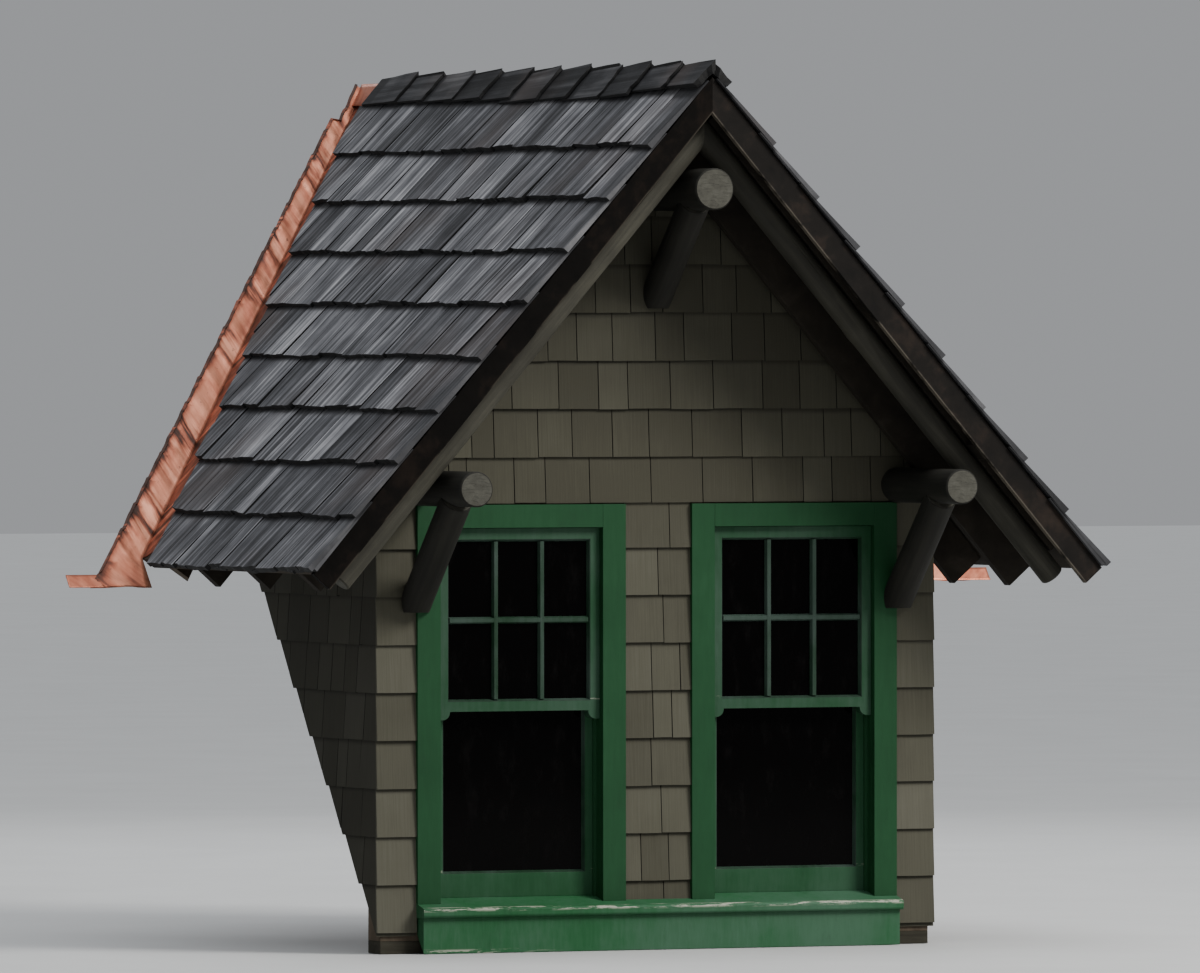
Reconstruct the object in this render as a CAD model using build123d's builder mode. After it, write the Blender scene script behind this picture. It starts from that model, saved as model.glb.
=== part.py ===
from build123d import *
import math
import os

# Gabled dormer with two double-hung windows.
# Millimetres. X to the right seen from the front, Y back into the roof, Z up.
# The origin is the middle of the underside of the front sole plate.
# Left is -X and right is +X.

os.makedirs("parts", exist_ok=True)

# Pitches in degrees: the dormer's own roof, and the main roof that it stands on
roof_pitch = 48.8
main_roof_pitch = 48.4

# Clearances
seat_gap = 0.3
sash_gap = 2.0

# Walls
wall_width = 2130
wall_thickness = 110
cheek_thickness = 105
sole_thickness = 45
cladding_butt = 18
cladding_tip = 7

# Courses of the wall cladding
wall_exposure = 169
first_butt_height = 66
gable_exposure = 173
gable_butt_rise = 140

# Roof
ridge_height = 3090
eave_half_width = 1500
deck_thickness = 45
rafter_width = 45
rafter_depth = 140
rafter_spacing = 466
rafter_wall_gap = 68
tail_inset = 36
blocking_thickness = 40

# Roof covering
roof_exposure = 247
shingle_butt = 32
shingle_tip = 14
shingle_eave_overhang = 26
shingle_verge_overhang = 15
cap_bed = 24
cap_bed_reach = 130
cap_width = 118
cap_thickness = 42

# Verge
verge_reach = 544
barge_thickness = 25
barge_depth = 84
barge_end_overhang = 22
verge_log_diameter = 92
verge_log_setback = 113
packing_width = 50
packing_thickness = 36
packing_start = 80
spacer_width = 70
spacer_offset = 1125

# Logs that carry the overhang
ridge_log_diameter = 150
eave_log_diameter = 127
log_end_chamfer = 5
ridge_log_reach = 564
eave_log_reach = 620
eave_log_offset = 936
brace_diameter = 115
brace_angle = 45
ridge_brace_foot_drop = 380
eave_brace_foot_drop = 400
brace_toe_cut = 42

# Windows
window_offset = 530
opening_width = 625
opening_head = 1500
casing_width = 89
head_casing_height = 82
casing_thickness = 25
jamb_thickness = 20
parting_strip = 12
strip_projection = 10

# Sashes
sash_thickness = 35
stile_width = 44
top_rail_height = 47
meeting_rail_height = 43
meeting_rail_top = 894
bottom_rail_top = 285
horn_length = 30
rebate_width = 8
rebate_depth = 22
glass_thickness = 4
glass_gap = 1.0

# Sill and apron
sill_slope = 14
sill_height = 174
sill_nose_reach = 20
sill_nose_height = 33
sill_nose_radius = 11
apron_depth = 63
apron_inset = 6

# Valleys
sleeper_width = 130
flashing_thickness = 2
flashing_deck_leg = 175
flashing_width_top = 62
flashing_width_foot = 118
flange_reach = 1820
flange_height = 60
flange_drop = 135
opening_top = 55
opening_foot = 115

# Values that follow from the sizes
half_wall = wall_width / 2
wall_front = -wall_thickness / 2
wall_back = wall_thickness / 2
cheek_inner = half_wall - cheek_thickness
apron_front = wall_front - apron_depth
casing_front = wall_front - casing_thickness
casing_top = opening_head + head_casing_height
sill_half_length = window_offset + opening_width / 2 + casing_width
verge_front = -verge_reach
barge_back = verge_front + barge_thickness
roof_tan = math.tan(math.radians(roof_pitch))
roof_sin = math.sin(math.radians(roof_pitch))
roof_cos = math.cos(math.radians(roof_pitch))
main_tan = math.tan(math.radians(main_roof_pitch))
main_sin = math.sin(math.radians(main_roof_pitch))
main_cos = math.cos(math.radians(main_roof_pitch))
sill_tan = math.tan(math.radians(sill_slope))
rafter_underside = deck_thickness + rafter_depth
eave_run = eave_half_width / roof_cos
tail_run = eave_run - tail_inset
valley_lean = math.atan(roof_sin / main_tan)
crease_angle = math.atan(roof_tan / main_sin)
far = 2 * (ridge_height + verge_reach)


def roof_z(x, depth=0):
    """Height of the layer that lies a depth below the deck's top, at a distance x from the ridge."""
    return ridge_height - depth / roof_cos - abs(x) * roof_tan


def slope_point(run, rise):
    """X and Z on the right slope, a run down from the ridge and a rise square above the deck."""
    return (run * roof_cos + rise * roof_sin, ridge_height - run * roof_sin + rise * roof_cos)


def main_roof_y(z):
    """Distance back at which the main roof's surface reaches a height."""
    return apron_front + z / main_tan


def valley_back(run):
    """Distance back of the valley at a run down the slope."""
    return main_roof_y(slope_point(run, 0)[1])


def sill_top(y):
    """Height of the weathered top of the sill at a distance y."""
    return sill_height + (y - casing_front) * sill_tan


# The two planes that everything is cut to
main_roof = Plane(origin=(0, apron_front, 0), x_dir=(1, 0, 0), z_dir=(0, -main_sin, main_cos))
right_slope = Plane(
    origin=(0, 0, ridge_height), x_dir=(roof_cos, 0, -roof_sin), z_dir=(roof_sin, 0, roof_cos)
)
middle = Plane.YZ
tail_cut = Plane(
    origin=(eave_half_width - tail_inset * roof_cos, 0, ridge_height - tail_run * roof_sin),
    x_dir=(0, 1, 0),
    z_dir=(roof_cos, 0, -roof_sin),
)
sill_surface = Plane(
    origin=(0, casing_front, sill_height),
    x_dir=(1, 0, 0),
    z_dir=(0, -math.sin(math.radians(sill_slope)), math.cos(math.radians(sill_slope))),
)

# The right-hand valley runs down and outwards where the deck meets the main roof
valley_direction = Vector(1, -roof_tan / main_tan, -roof_tan).normalized()
valley_top = Vector(0, main_roof_y(ridge_height), ridge_height)
valley_inward = valley_direction.cross(main_roof.z_dir).normalized()
deck_inward = valley_direction.cross(right_slope.z_dir).normalized()


def save(piece, name):
    """Label one finished piece and write it."""
    piece.label = name
    export_step(piece, f"parts/{name}.step")


def save_pair(right_piece, name):
    """Write a right-hand piece and its mirror image on the left."""
    save(right_piece, f"right_{name}")
    with BuildPart() as left_piece:
        mirror(right_piece, about=middle)
    save(left_piece.part, f"left_{name}")


def gable_outline(half_width, foot, roof_depth):
    """Corners of a gable-ended wall outline, in X and Z."""
    shoulder = roof_z(half_width, roof_depth)
    return [
        (-half_width, foot),
        (half_width, foot),
        (half_width, shoulder),
        (0, roof_z(0, roof_depth)),
        (-half_width, shoulder),
    ]


def log_height(x, diameter):
    """Axis height of a lengthwise log that touches the rafters' undersides at x from the ridge."""
    return roof_z(x, rafter_underside + diameter / 2 + seat_gap)


ridge_log_height = log_height(0, ridge_log_diameter)
eave_log_height = log_height(eave_log_offset, eave_log_diameter)


def cut_log_beds():
    """Cut the beds of the three logs out of the current upright sketch."""
    with Locations((0, ridge_log_height)):
        Circle(ridge_log_diameter / 2 + seat_gap, mode=Mode.SUBTRACT)
    with Locations((-eave_log_offset, eave_log_height), (eave_log_offset, eave_log_height)):
        Circle(eave_log_diameter / 2 + seat_gap, mode=Mode.SUBTRACT)


# Front sole plate, the level face that the front wall stands on
with BuildPart() as front_sole_plate:
    Box(wall_width, wall_thickness, sole_thickness, align=(Align.CENTER, Align.CENTER, Align.MIN))
save(front_sole_plate.part, "front_sole_plate")

# Window openings in the front wall reach from the sill's underside to the head jamb
sill_underside = sill_top(wall_front - apron_depth - sill_nose_reach) - sill_nose_height
rough_width = opening_width + 2 * jamb_thickness
rough_head = opening_head + jamb_thickness
window_places = [-window_offset, window_offset]

with BuildPart() as front_wall:
    with BuildSketch(Plane.XZ):
        with BuildLine():
            Polyline(*gable_outline(half_wall, sole_thickness, deck_thickness), close=True)
        make_face()
        cut_log_beds()
        with Locations(*[(x, sill_underside) for x in window_places]):
            Rectangle(
                rough_width,
                rough_head - sill_underside,
                align=(Align.CENTER, Align.MIN),
                mode=Mode.SUBTRACT,
            )
    extrude(amount=wall_thickness / 2, both=True)
save(front_wall.part, "front_wall")

# Valley sleeper, a plank flat on the main roof below the edge of the deck
sleeper_start = Vector(0, main_roof_y(roof_z(0, deck_thickness)), roof_z(0, deck_thickness))
sleeper_plane = Plane(origin=sleeper_start, x_dir=valley_inward, z_dir=valley_direction * -1)

with BuildPart() as valley_sleeper:
    with BuildSketch(sleeper_plane):
        Rectangle(sleeper_width, sole_thickness, align=(Align.MIN, Align.MIN))
    extrude(amount=far, both=True)
    split(bisect_by=right_slope.offset(-deck_thickness - seat_gap), keep=Keep.BOTTOM)
    split(bisect_by=middle, keep=Keep.TOP)
    split(bisect_by=tail_cut, keep=Keep.BOTTOM)
save_pair(valley_sleeper.part, "valley_sleeper")

# The sole plates, the cheeks and the logs stop at the sleeper's inner edge
sleeper_inner = Plane(
    origin=sleeper_start + valley_inward * (sleeper_width + seat_gap),
    x_dir=valley_direction,
    z_dir=valley_inward,
)

# Bed of the eave log in the inner top edge of the cheek and its sole plate
with BuildPart() as log_bed:
    with BuildSketch(Plane.XZ):
        with Locations((eave_log_offset, eave_log_height)):
            Circle(eave_log_diameter / 2 + seat_gap)
            Rectangle(eave_log_diameter / 2 + seat_gap, far, align=(Align.MIN, Align.MIN))
    extrude(amount=-far)

# Side sole plates, planks that lie on the main roof

with BuildPart() as sole_plate:
    with BuildSketch(Plane.YZ.offset(cheek_inner)):
        with BuildLine():
            Polyline(
                (wall_back, main_roof_y(0)),
                (wall_back, far),
                (far, far),
                (far, main_roof_y(0)),
                close=True,
            )
        make_face()
    extrude(amount=cheek_thickness)
    split(bisect_by=main_roof, keep=Keep.TOP)
    split(bisect_by=main_roof.offset(sole_thickness), keep=Keep.BOTTOM)
    split(bisect_by=sleeper_inner, keep=Keep.TOP)
    add(log_bed.part, mode=Mode.SUBTRACT)
save_pair(sole_plate.part, "sole_plate")

# Cheek wall from the sole plate up to the rafters
with BuildPart() as cheek_wall:
    with BuildSketch(Plane.YZ.offset(cheek_inner)):
        with Locations((wall_back, 0)):
            Rectangle(far, far, align=(Align.MIN, Align.MIN))
    extrude(amount=cheek_thickness)
    split(bisect_by=main_roof.offset(sole_thickness), keep=Keep.TOP)
    split(bisect_by=right_slope.offset(-rafter_underside - seat_gap), keep=Keep.BOTTOM)
    split(bisect_by=sleeper_inner, keep=Keep.TOP)
    add(log_bed.part, mode=Mode.SUBTRACT)
save_pair(cheek_wall.part, "cheek_wall")


def course_heights(top):
    """Butt heights of the wall courses: even ones beside the windows, then those of the gable."""
    heights = []
    gable_first_butt = casing_top + gable_butt_rise
    height = first_butt_height - wall_exposure
    while height < min(gable_first_butt - gable_exposure / 2, top):
        heights.append(height)
        height += wall_exposure
    height = gable_first_butt
    while height < top:
        heights.append(height)
        height += gable_exposure
    return heights + [height]


def course_profile(heights):
    """Saw-toothed outline of lapped courses, as distance out and height."""
    points = [(0, heights[0])]
    for lower, upper in zip(heights, heights[1:]):
        points += [(cladding_butt, lower), (cladding_tip, upper)]
    return points + [(0, heights[-1])]


# Cladding of the gable front, cut round the casings, the sill, the logs and the ridge brace
half_clad = half_wall + cladding_butt
casing_outer = opening_width / 2 + casing_width
brace_plane = Plane(
    origin=(0, wall_front, ridge_log_height - ridge_brace_foot_drop),
    x_dir=(1, 0, 0),
    z_dir=(0, -math.cos(math.radians(brace_angle)), math.sin(math.radians(brace_angle))),
)

with BuildPart() as front_cladding:
    with BuildSketch(Plane.YZ):
        with BuildLine():
            Polyline(
                *[(wall_front - out, z) for out, z in course_profile(course_heights(ridge_height))],
                close=True,
            )
        make_face()
    extrude(amount=half_clad, both=True)
    with BuildSketch(Plane.XZ.offset(-wall_front)):
        with BuildLine():
            Polyline(*gable_outline(half_clad, 0, deck_thickness + seat_gap), close=True)
        make_face()
        cut_log_beds()
        for x in window_places:
            with Locations((x, 0)):
                Rectangle(
                    2 * (casing_outer + seat_gap),
                    casing_top + seat_gap,
                    align=(Align.CENTER, Align.MIN),
                    mode=Mode.SUBTRACT,
                )
        Rectangle(
            2 * (sill_half_length + seat_gap),
            sill_top(wall_front) + seat_gap,
            align=(Align.CENTER, Align.MIN),
            mode=Mode.SUBTRACT,
        )
    extrude(amount=cladding_butt, mode=Mode.INTERSECT)
    split(bisect_by=main_roof, keep=Keep.TOP)
    with BuildSketch(brace_plane):
        Circle(brace_diameter / 2 + seat_gap)
    extrude(amount=brace_diameter, both=True, mode=Mode.SUBTRACT)
save(front_cladding.part, "front_cladding")

# Cladding of a cheek, in the same courses
with BuildPart() as cheek_cladding:
    with BuildSketch(Plane.XZ.offset(-wall_front)):
        with BuildLine():
            Polyline(
                *[(half_wall + out, z) for out, z in course_profile(course_heights(roof_z(half_wall)))],
                close=True,
            )
        make_face()
    extrude(amount=-far)
    split(bisect_by=main_roof, keep=Keep.TOP)
    split(bisect_by=right_slope.offset(-rafter_underside - seat_gap), keep=Keep.BOTTOM)
    split(bisect_by=sleeper_inner, keep=Keep.TOP)
save_pair(cheek_cladding.part, "cheek_cladding")

# One sill for both windows: a bar in front of the wall with a tongue into each opening
nose_front = apron_front - sill_nose_reach

with BuildPart() as window_sill:
    with BuildSketch(Plane.YZ):
        with BuildLine():
            Polyline(
                (nose_front, sill_underside),
                (wall_front, sill_underside),
                (wall_front, sill_top(wall_front)),
                (nose_front, sill_top(nose_front)),
                close=True,
            )
        make_face()
    extrude(amount=sill_half_length, both=True)
    fillet(window_sill.edges().filter_by(Axis.X).group_by(Axis.Y)[0], sill_nose_radius)
    for x in window_places:
        with BuildSketch(Plane.YZ.offset(x)):
            with BuildLine():
                Polyline(
                    (wall_front, sill_underside),
                    (wall_back, sill_underside),
                    (wall_back, sill_top(wall_back)),
                    (wall_front, sill_top(wall_front)),
                    close=True,
                )
            make_face()
        extrude(amount=rough_width / 2, both=True)
save(window_sill.part, "window_sill")

# Apron below the sill, its foot bevelled to the main roof
with BuildPart() as sill_apron:
    with BuildSketch(Plane.YZ):
        with BuildLine():
            Polyline(
                (apron_front, 0),
                (wall_front, (wall_front - apron_front) * main_tan),
                (wall_front, sill_underside),
                (apron_front, sill_underside),
                close=True,
            )
        make_face()
    extrude(amount=sill_half_length - apron_inset, both=True)
save(sill_apron.part, "sill_apron")

# Casings on the face of the wall: sides from the sill up, scribed round the eave logs, heads between
with BuildPart() as head_casings:
    with BuildSketch(Plane.XZ.offset(-wall_front)):
        with Locations(*[(x, opening_head) for x in window_places]):
            Rectangle(
                opening_width - 2 * seat_gap, head_casing_height, align=(Align.CENTER, Align.MIN)
            )
    extrude(amount=casing_thickness)
save(head_casings.part, "head_casings")

with BuildPart() as side_casings:
    with BuildSketch(Plane.XZ.offset(-wall_front)):
        for x in window_places:
            for side in (-1, 1):
                with Locations((x + side * (opening_width + casing_width) / 2, sill_underside)):
                    Rectangle(
                        casing_width, casing_top - sill_underside, align=(Align.CENTER, Align.MIN)
                    )
        cut_log_beds()
    extrude(amount=casing_thickness)
    split(bisect_by=sill_surface, keep=Keep.TOP)
save(side_casings.part, "side_casings")

# Sash tracks, from the wall's face inwards: upper sash, parting strip, lower sash, inner stop
upper_sash_front = wall_front + seat_gap
upper_sash_back = upper_sash_front + sash_thickness
strip_front = upper_sash_back + seat_gap
strip_back = strip_front + parting_strip
lower_sash_front = strip_back + seat_gap
lower_sash_back = lower_sash_front + sash_thickness
stop_front = lower_sash_back + seat_gap


def cut_rectangle(x, bottom, top, width):
    """Cut an upright rectangle about x out of the current sketch."""
    with Locations((x, bottom)):
        Rectangle(width, top - bottom, align=(Align.CENTER, Align.MIN), mode=Mode.SUBTRACT)


def make_window_frame(x):
    """Jambs and head of one window, with the parting strip and the inner stop."""
    with BuildPart() as frame:
        with BuildSketch(Plane.XZ.offset(-wall_front)):
            with Locations((x, sill_underside)):
                Rectangle(rough_width, rough_head - sill_underside, align=(Align.CENTER, Align.MIN))
            cut_rectangle(x, sill_underside, opening_head, opening_width)
        extrude(amount=-wall_thickness)
        for front, back in ((strip_front, strip_back), (stop_front, wall_back)):
            with BuildSketch(Plane.XZ.offset(-front)):
                with Locations((x, sill_underside)):
                    Rectangle(
                        opening_width, opening_head - sill_underside, align=(Align.CENTER, Align.MIN)
                    )
                cut_rectangle(
                    x,
                    sill_underside,
                    opening_head - strip_projection,
                    opening_width - 2 * strip_projection,
                )
            extrude(amount=front - back)
        split(bisect_by=sill_surface, keep=Keep.TOP)
    return frame.part


def sash_outline(x, bottom, top):
    """Outer rectangle of a sash between two heights, clear of the jambs."""
    with Locations((x, bottom)):
        Rectangle(opening_width - 2 * sash_gap, top - bottom, align=(Align.CENTER, Align.MIN))


def upright_face(x, front, bottom, top, width):
    """An upright rectangle about x, facing forwards at a distance front."""
    with BuildSketch(Plane.XZ.offset(-front)) as face:
        with Locations((x, bottom)):
            Rectangle(width, top - bottom, align=(Align.CENTER, Align.MIN))
    return face.sketch


sight_width = opening_width - 2 * sash_gap - 2 * stile_width
rebate_wide = sight_width + 2 * rebate_width
upper_sight_top = opening_head - sash_gap - top_rail_height
lower_sight_top = meeting_rail_top - meeting_rail_height
meeting_reach = parting_strip / 2


def make_upper_sash(x):
    """Outer sash, with horns below its meeting rail and the rail thickened to meet the lower one."""
    with BuildPart() as sash:
        with BuildSketch(Plane.XZ.offset(-upper_sash_front)):
            sash_outline(x, lower_sight_top, opening_head - sash_gap)
        extrude(amount=-sash_thickness)
        with BuildSketch(Plane.XZ.offset(-upper_sash_back)):
            with Locations((x, lower_sight_top)):
                Rectangle(
                    opening_width - 2 * (strip_projection + sash_gap),
                    meeting_rail_height,
                    align=(Align.CENTER, Align.MIN),
                )
        extrude(amount=-meeting_reach)
        for side in (-1, 1):
            outer = x + side * (opening_width / 2 - sash_gap)
            inner = outer - side * stile_width
            horn_foot = lower_sight_top - horn_length
            with BuildSketch(Plane.XZ.offset(-upper_sash_front)):
                with BuildLine():
                    Polyline((inner, lower_sight_top), (outer, lower_sight_top), (outer, horn_foot))
                    Line((outer, horn_foot), (outer - side * stile_width / 3, horn_foot))
                    TangentArc(
                        (outer - side * stile_width / 3, horn_foot),
                        (inner, lower_sight_top),
                        tangent=(-side, 0),
                    )
                make_face()
            extrude(amount=-sash_thickness)
        sight = upright_face(x, upper_sash_front, meeting_rail_top, upper_sight_top, sight_width)
        extrude(sight, amount=-far, mode=Mode.SUBTRACT)
        rebate = upright_face(
            x, upper_sash_front, meeting_rail_top - rebate_width, upper_sight_top + rebate_width, rebate_wide
        )
        extrude(rebate, amount=-rebate_depth, mode=Mode.SUBTRACT)
    return sash.part


def make_lower_sash(x):
    """Inner sash, its bottom rail bevelled to the sill."""
    with BuildPart() as sash:
        with BuildSketch(Plane.XZ.offset(-lower_sash_front)):
            sash_outline(x, sill_underside, meeting_rail_top)
        extrude(amount=-sash_thickness)
        with BuildSketch(Plane.XZ.offset(-lower_sash_front)):
            with Locations((x, lower_sight_top)):
                Rectangle(
                    opening_width - 2 * (strip_projection + sash_gap),
                    meeting_rail_height,
                    align=(Align.CENTER, Align.MIN),
                )
        extrude(amount=meeting_reach)
        split(bisect_by=sill_surface.offset(seat_gap), keep=Keep.TOP)
        sight = upright_face(x, lower_sash_front, bottom_rail_top, lower_sight_top, sight_width)
        extrude(sight, amount=-far, mode=Mode.SUBTRACT)
        rebate = upright_face(
            x, lower_sash_front, bottom_rail_top - rebate_width, lower_sight_top + rebate_width, rebate_wide
        )
        extrude(rebate, amount=-rebate_depth, mode=Mode.SUBTRACT)
    return sash.part


def make_glass(x):
    """The two panes of one window, each lying in its sash's rebate."""
    pane_width = opening_width - 2 * sash_gap - 2 * stile_width + 2 * (rebate_width - glass_gap)
    panes = (
        (upper_sash_front, meeting_rail_top, upper_sight_top),
        (lower_sash_front, bottom_rail_top, lower_sight_top),
    )
    with BuildPart() as glass:
        for front, bottom, top in panes:
            pane_foot = bottom - rebate_width + glass_gap
            with BuildSketch(Plane.XZ.offset(-front - rebate_depth + seat_gap)):
                with Locations((x, pane_foot)):
                    Rectangle(
                        pane_width,
                        top - bottom + 2 * (rebate_width - glass_gap),
                        align=(Align.CENTER, Align.MIN),
                    )
            extrude(amount=glass_thickness)
    return glass.part


for side_name, x in (("left", -window_offset), ("right", window_offset)):
    save(make_window_frame(x), f"{side_name}_window_frame")
    save(make_upper_sash(x), f"{side_name}_upper_sash")
    save(make_lower_sash(x), f"{side_name}_lower_sash")
    save(make_glass(x), f"{side_name}_window_glass")

# Roof deck of thick planks, mitred to the main roof along the valley
with BuildPart() as roof_deck:
    with BuildSketch(right_slope):
        with BuildLine():
            Polyline(
                (-deck_thickness * roof_tan, barge_back),
                (eave_run, barge_back),
                (eave_run, valley_back(eave_run)),
                (0, valley_back(0)),
                (-deck_thickness * roof_tan, valley_back(0)),
                close=True,
            )
        make_face()
    extrude(amount=-deck_thickness)
    split(bisect_by=middle, keep=Keep.TOP)
    split(bisect_by=main_roof, keep=Keep.TOP)
save_pair(roof_deck.part, "roof_deck")

# Sawn rafters on the lengthwise logs, cut square at the eave, the upper ones ending on the sleeper
rafter_top = deck_thickness + seat_gap
first_rafter = wall_front - rafter_wall_gap - rafter_width / 2
rafter_count = math.floor(
    (main_roof_y(roof_z(0, rafter_underside)) - first_rafter) / rafter_spacing
)
rafter_places = [first_rafter + i * rafter_spacing for i in range(rafter_count)]
inner_places = [y for y in rafter_places if y > wall_back]

with BuildPart() as rafters:
    for y in rafter_places:
        with BuildSketch(Plane.XZ.offset(-y)):
            with BuildLine():
                Polyline(
                    (0, roof_z(0, rafter_top)),
                    (eave_half_width, roof_z(eave_half_width, rafter_top)),
                    (eave_half_width, roof_z(eave_half_width, rafter_underside)),
                    (0, roof_z(0, rafter_underside)),
                    close=True,
                )
            make_face()
        extrude(amount=rafter_width / 2, both=True)
    split(bisect_by=tail_cut, keep=Keep.BOTTOM)
    split(bisect_by=main_roof.offset(sole_thickness + seat_gap), keep=Keep.TOP)
save_pair(rafters.part, "rafters")

# Blocking that closes the eaves between the rafters, on the cheek walls
blocking_inner = half_wall - blocking_thickness
blocking_starts = [wall_back] + [y + rafter_width / 2 for y in inner_places]

with BuildPart() as right_blocking:
    for start, rafter in zip(blocking_starts, inner_places):
        with BuildSketch(Plane.XZ.offset(-start - seat_gap)):
            with BuildLine():
                Polyline(
                    (blocking_inner, roof_z(blocking_inner, rafter_underside)),
                    (half_wall, roof_z(half_wall, rafter_underside)),
                    (half_wall, roof_z(half_wall, rafter_top)),
                    (blocking_inner, roof_z(blocking_inner, rafter_top)),
                    close=True,
                )
            make_face()
        extrude(amount=start - rafter + rafter_width / 2 + 2 * seat_gap)
    split(bisect_by=main_roof.offset(sole_thickness + seat_gap), keep=Keep.TOP)

with BuildPart() as eave_blocking:
    add(right_blocking.part)
    mirror(right_blocking.part, about=middle)
save(eave_blocking.part, "eave_blocking")

# Barge boards, mitred at the ridge and cut square at the eave
barge_run = (eave_half_width + barge_end_overhang) / roof_cos
barge_points = [
    (0, roof_z(0)),
    slope_point(barge_run, 0),
    slope_point(barge_run, -barge_depth),
    (0, roof_z(0, barge_depth)),
]

with BuildPart() as barge_board:
    with BuildSketch(Plane.XZ.offset(-barge_back)):
        with BuildLine():
            Polyline(*barge_points, close=True)
        make_face()
    extrude(amount=barge_thickness)
save_pair(barge_board.part, "barge_board")

# Verge logs behind the barge boards, packed up to the deck and spaced off the barge boards
verge_log_y = verge_front + verge_log_setback
verge_log_depth = deck_thickness + packing_thickness + verge_log_diameter / 2

with BuildPart() as verge_log:
    with BuildSketch(tail_cut):
        with Locations((verge_log_y, -verge_log_depth)):
            Circle(verge_log_diameter / 2)
    extrude(amount=-far)
    chamfer(verge_log.faces().sort_by(Axis.X)[-1].edges(), log_end_chamfer)
    split(bisect_by=middle, keep=Keep.TOP)
save_pair(verge_log.part, "verge_log")

packing_foot = deck_thickness + packing_thickness
spacer_start = (spacer_offset - spacer_width / 2) / roof_cos
spacer_back = packing_width / 2

with BuildPart() as right_packing:
    with BuildSketch(Plane.XZ.offset(-verge_log_y)):
        with BuildLine():
            Polyline(
                slope_point(packing_start + rafter_top * roof_tan, -rafter_top),
                slope_point(tail_run - packing_start, -rafter_top),
                slope_point(tail_run - packing_start, -packing_foot),
                slope_point(packing_start + rafter_top * roof_tan, -packing_foot),
                close=True,
            )
        make_face()
    extrude(amount=packing_width / 2, both=True)
    with BuildSketch(Plane.XZ.offset(-verge_log_y + spacer_back)):
        with BuildLine():
            Polyline(
                slope_point(spacer_start, -rafter_top),
                slope_point(spacer_start + spacer_width, -rafter_top),
                slope_point(spacer_start + spacer_width, -barge_depth),
                slope_point(spacer_start, -barge_depth),
                close=True,
            )
        make_face()
    extrude(amount=verge_log_y - spacer_back - barge_back - seat_gap)

with BuildPart() as verge_packing:
    add(right_packing.part)
    mirror(right_packing.part, about=middle)
save(verge_packing.part, "verge_packing")


def make_log(x, z, diameter, reach):
    """A lengthwise log from its projecting end back to the main roof and the sleeper."""
    with BuildPart() as log:
        with BuildSketch(Plane.XZ.offset(reach)):
            with Locations((x, z)):
                Circle(diameter / 2)
        extrude(amount=-far)
        chamfer(log.faces().sort_by(Axis.Y)[0].edges(), log_end_chamfer)
        split(bisect_by=main_roof, keep=Keep.TOP)
        split(bisect_by=sleeper_inner, keep=Keep.TOP)
    return log.part


with BuildPart() as ridge_log:
    add(make_log(0, ridge_log_height, ridge_log_diameter, ridge_log_reach))
    mirror(about=middle, mode=Mode.INTERSECT)
save(ridge_log.part, "ridge_log")
save_pair(
    make_log(eave_log_offset, eave_log_height, eave_log_diameter, eave_log_reach), "eave_log"
)


def make_brace(x, log_z, log_diameter, foot_drop, seat_y):
    """A round brace at 45 degrees from the wall's face up to a log, its toe cut off level."""
    foot = log_z - foot_drop
    slant = math.radians(brace_angle)
    axis_plane = Plane(
        origin=(x, seat_y, foot), x_dir=(1, 0, 0), z_dir=(0, -math.cos(slant), math.sin(slant))
    )
    toe = foot - brace_diameter / 2 / math.sin(slant) + brace_toe_cut
    with BuildPart() as brace:
        with BuildSketch(axis_plane):
            Circle(brace_diameter / 2)
        extrude(amount=foot_drop / math.sin(slant))
        extrude(brace.faces().sort_by(Axis.Z)[0], amount=brace_diameter)
        split(bisect_by=Plane.XZ.offset(-seat_y), keep=Keep.TOP)
        split(bisect_by=Plane.XY.offset(toe), keep=Keep.TOP)
        with BuildSketch(Plane.XZ.offset(-seat_y)):
            with Locations((x, log_z)):
                Circle(log_diameter / 2 + seat_gap)
        extrude(amount=far, mode=Mode.SUBTRACT)
        split(bisect_by=Plane.XY.offset(log_z), keep=Keep.BOTTOM)
    return brace.part


save(
    make_brace(0, ridge_log_height, ridge_log_diameter, ridge_brace_foot_drop, wall_front),
    "ridge_brace",
)
save_pair(
    make_brace(
        eave_log_offset,
        eave_log_height,
        eave_log_diameter,
        eave_brace_foot_drop,
        casing_front - seat_gap,
    ),
    "eave_brace",
)

# Copper flashing: a leg up the main roof, widening towards the eave, and a leg on the deck
crease_foot_x = eave_half_width
crease_top = ridge_height / main_sin
crease_foot = roof_z(crease_foot_x) / main_sin
flange_foot = crease_foot - flange_drop
flange_top = flange_foot + flange_height
leg_width = flashing_deck_leg / math.cos(valley_lean)
outer_x = math.sin(crease_angle)
outer_up = math.cos(crease_angle)
edge_top_x = flashing_width_top * outer_x
edge_top = crease_top + flashing_width_top * outer_up
edge_foot_x = crease_foot_x + flashing_width_foot * outer_x
edge_foot = crease_foot + flashing_width_foot * outer_up
edge_lean = (edge_foot_x - edge_top_x) / (edge_top - edge_foot)
edge_end_x = edge_foot_x + (edge_foot - flange_top) * edge_lean

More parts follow.
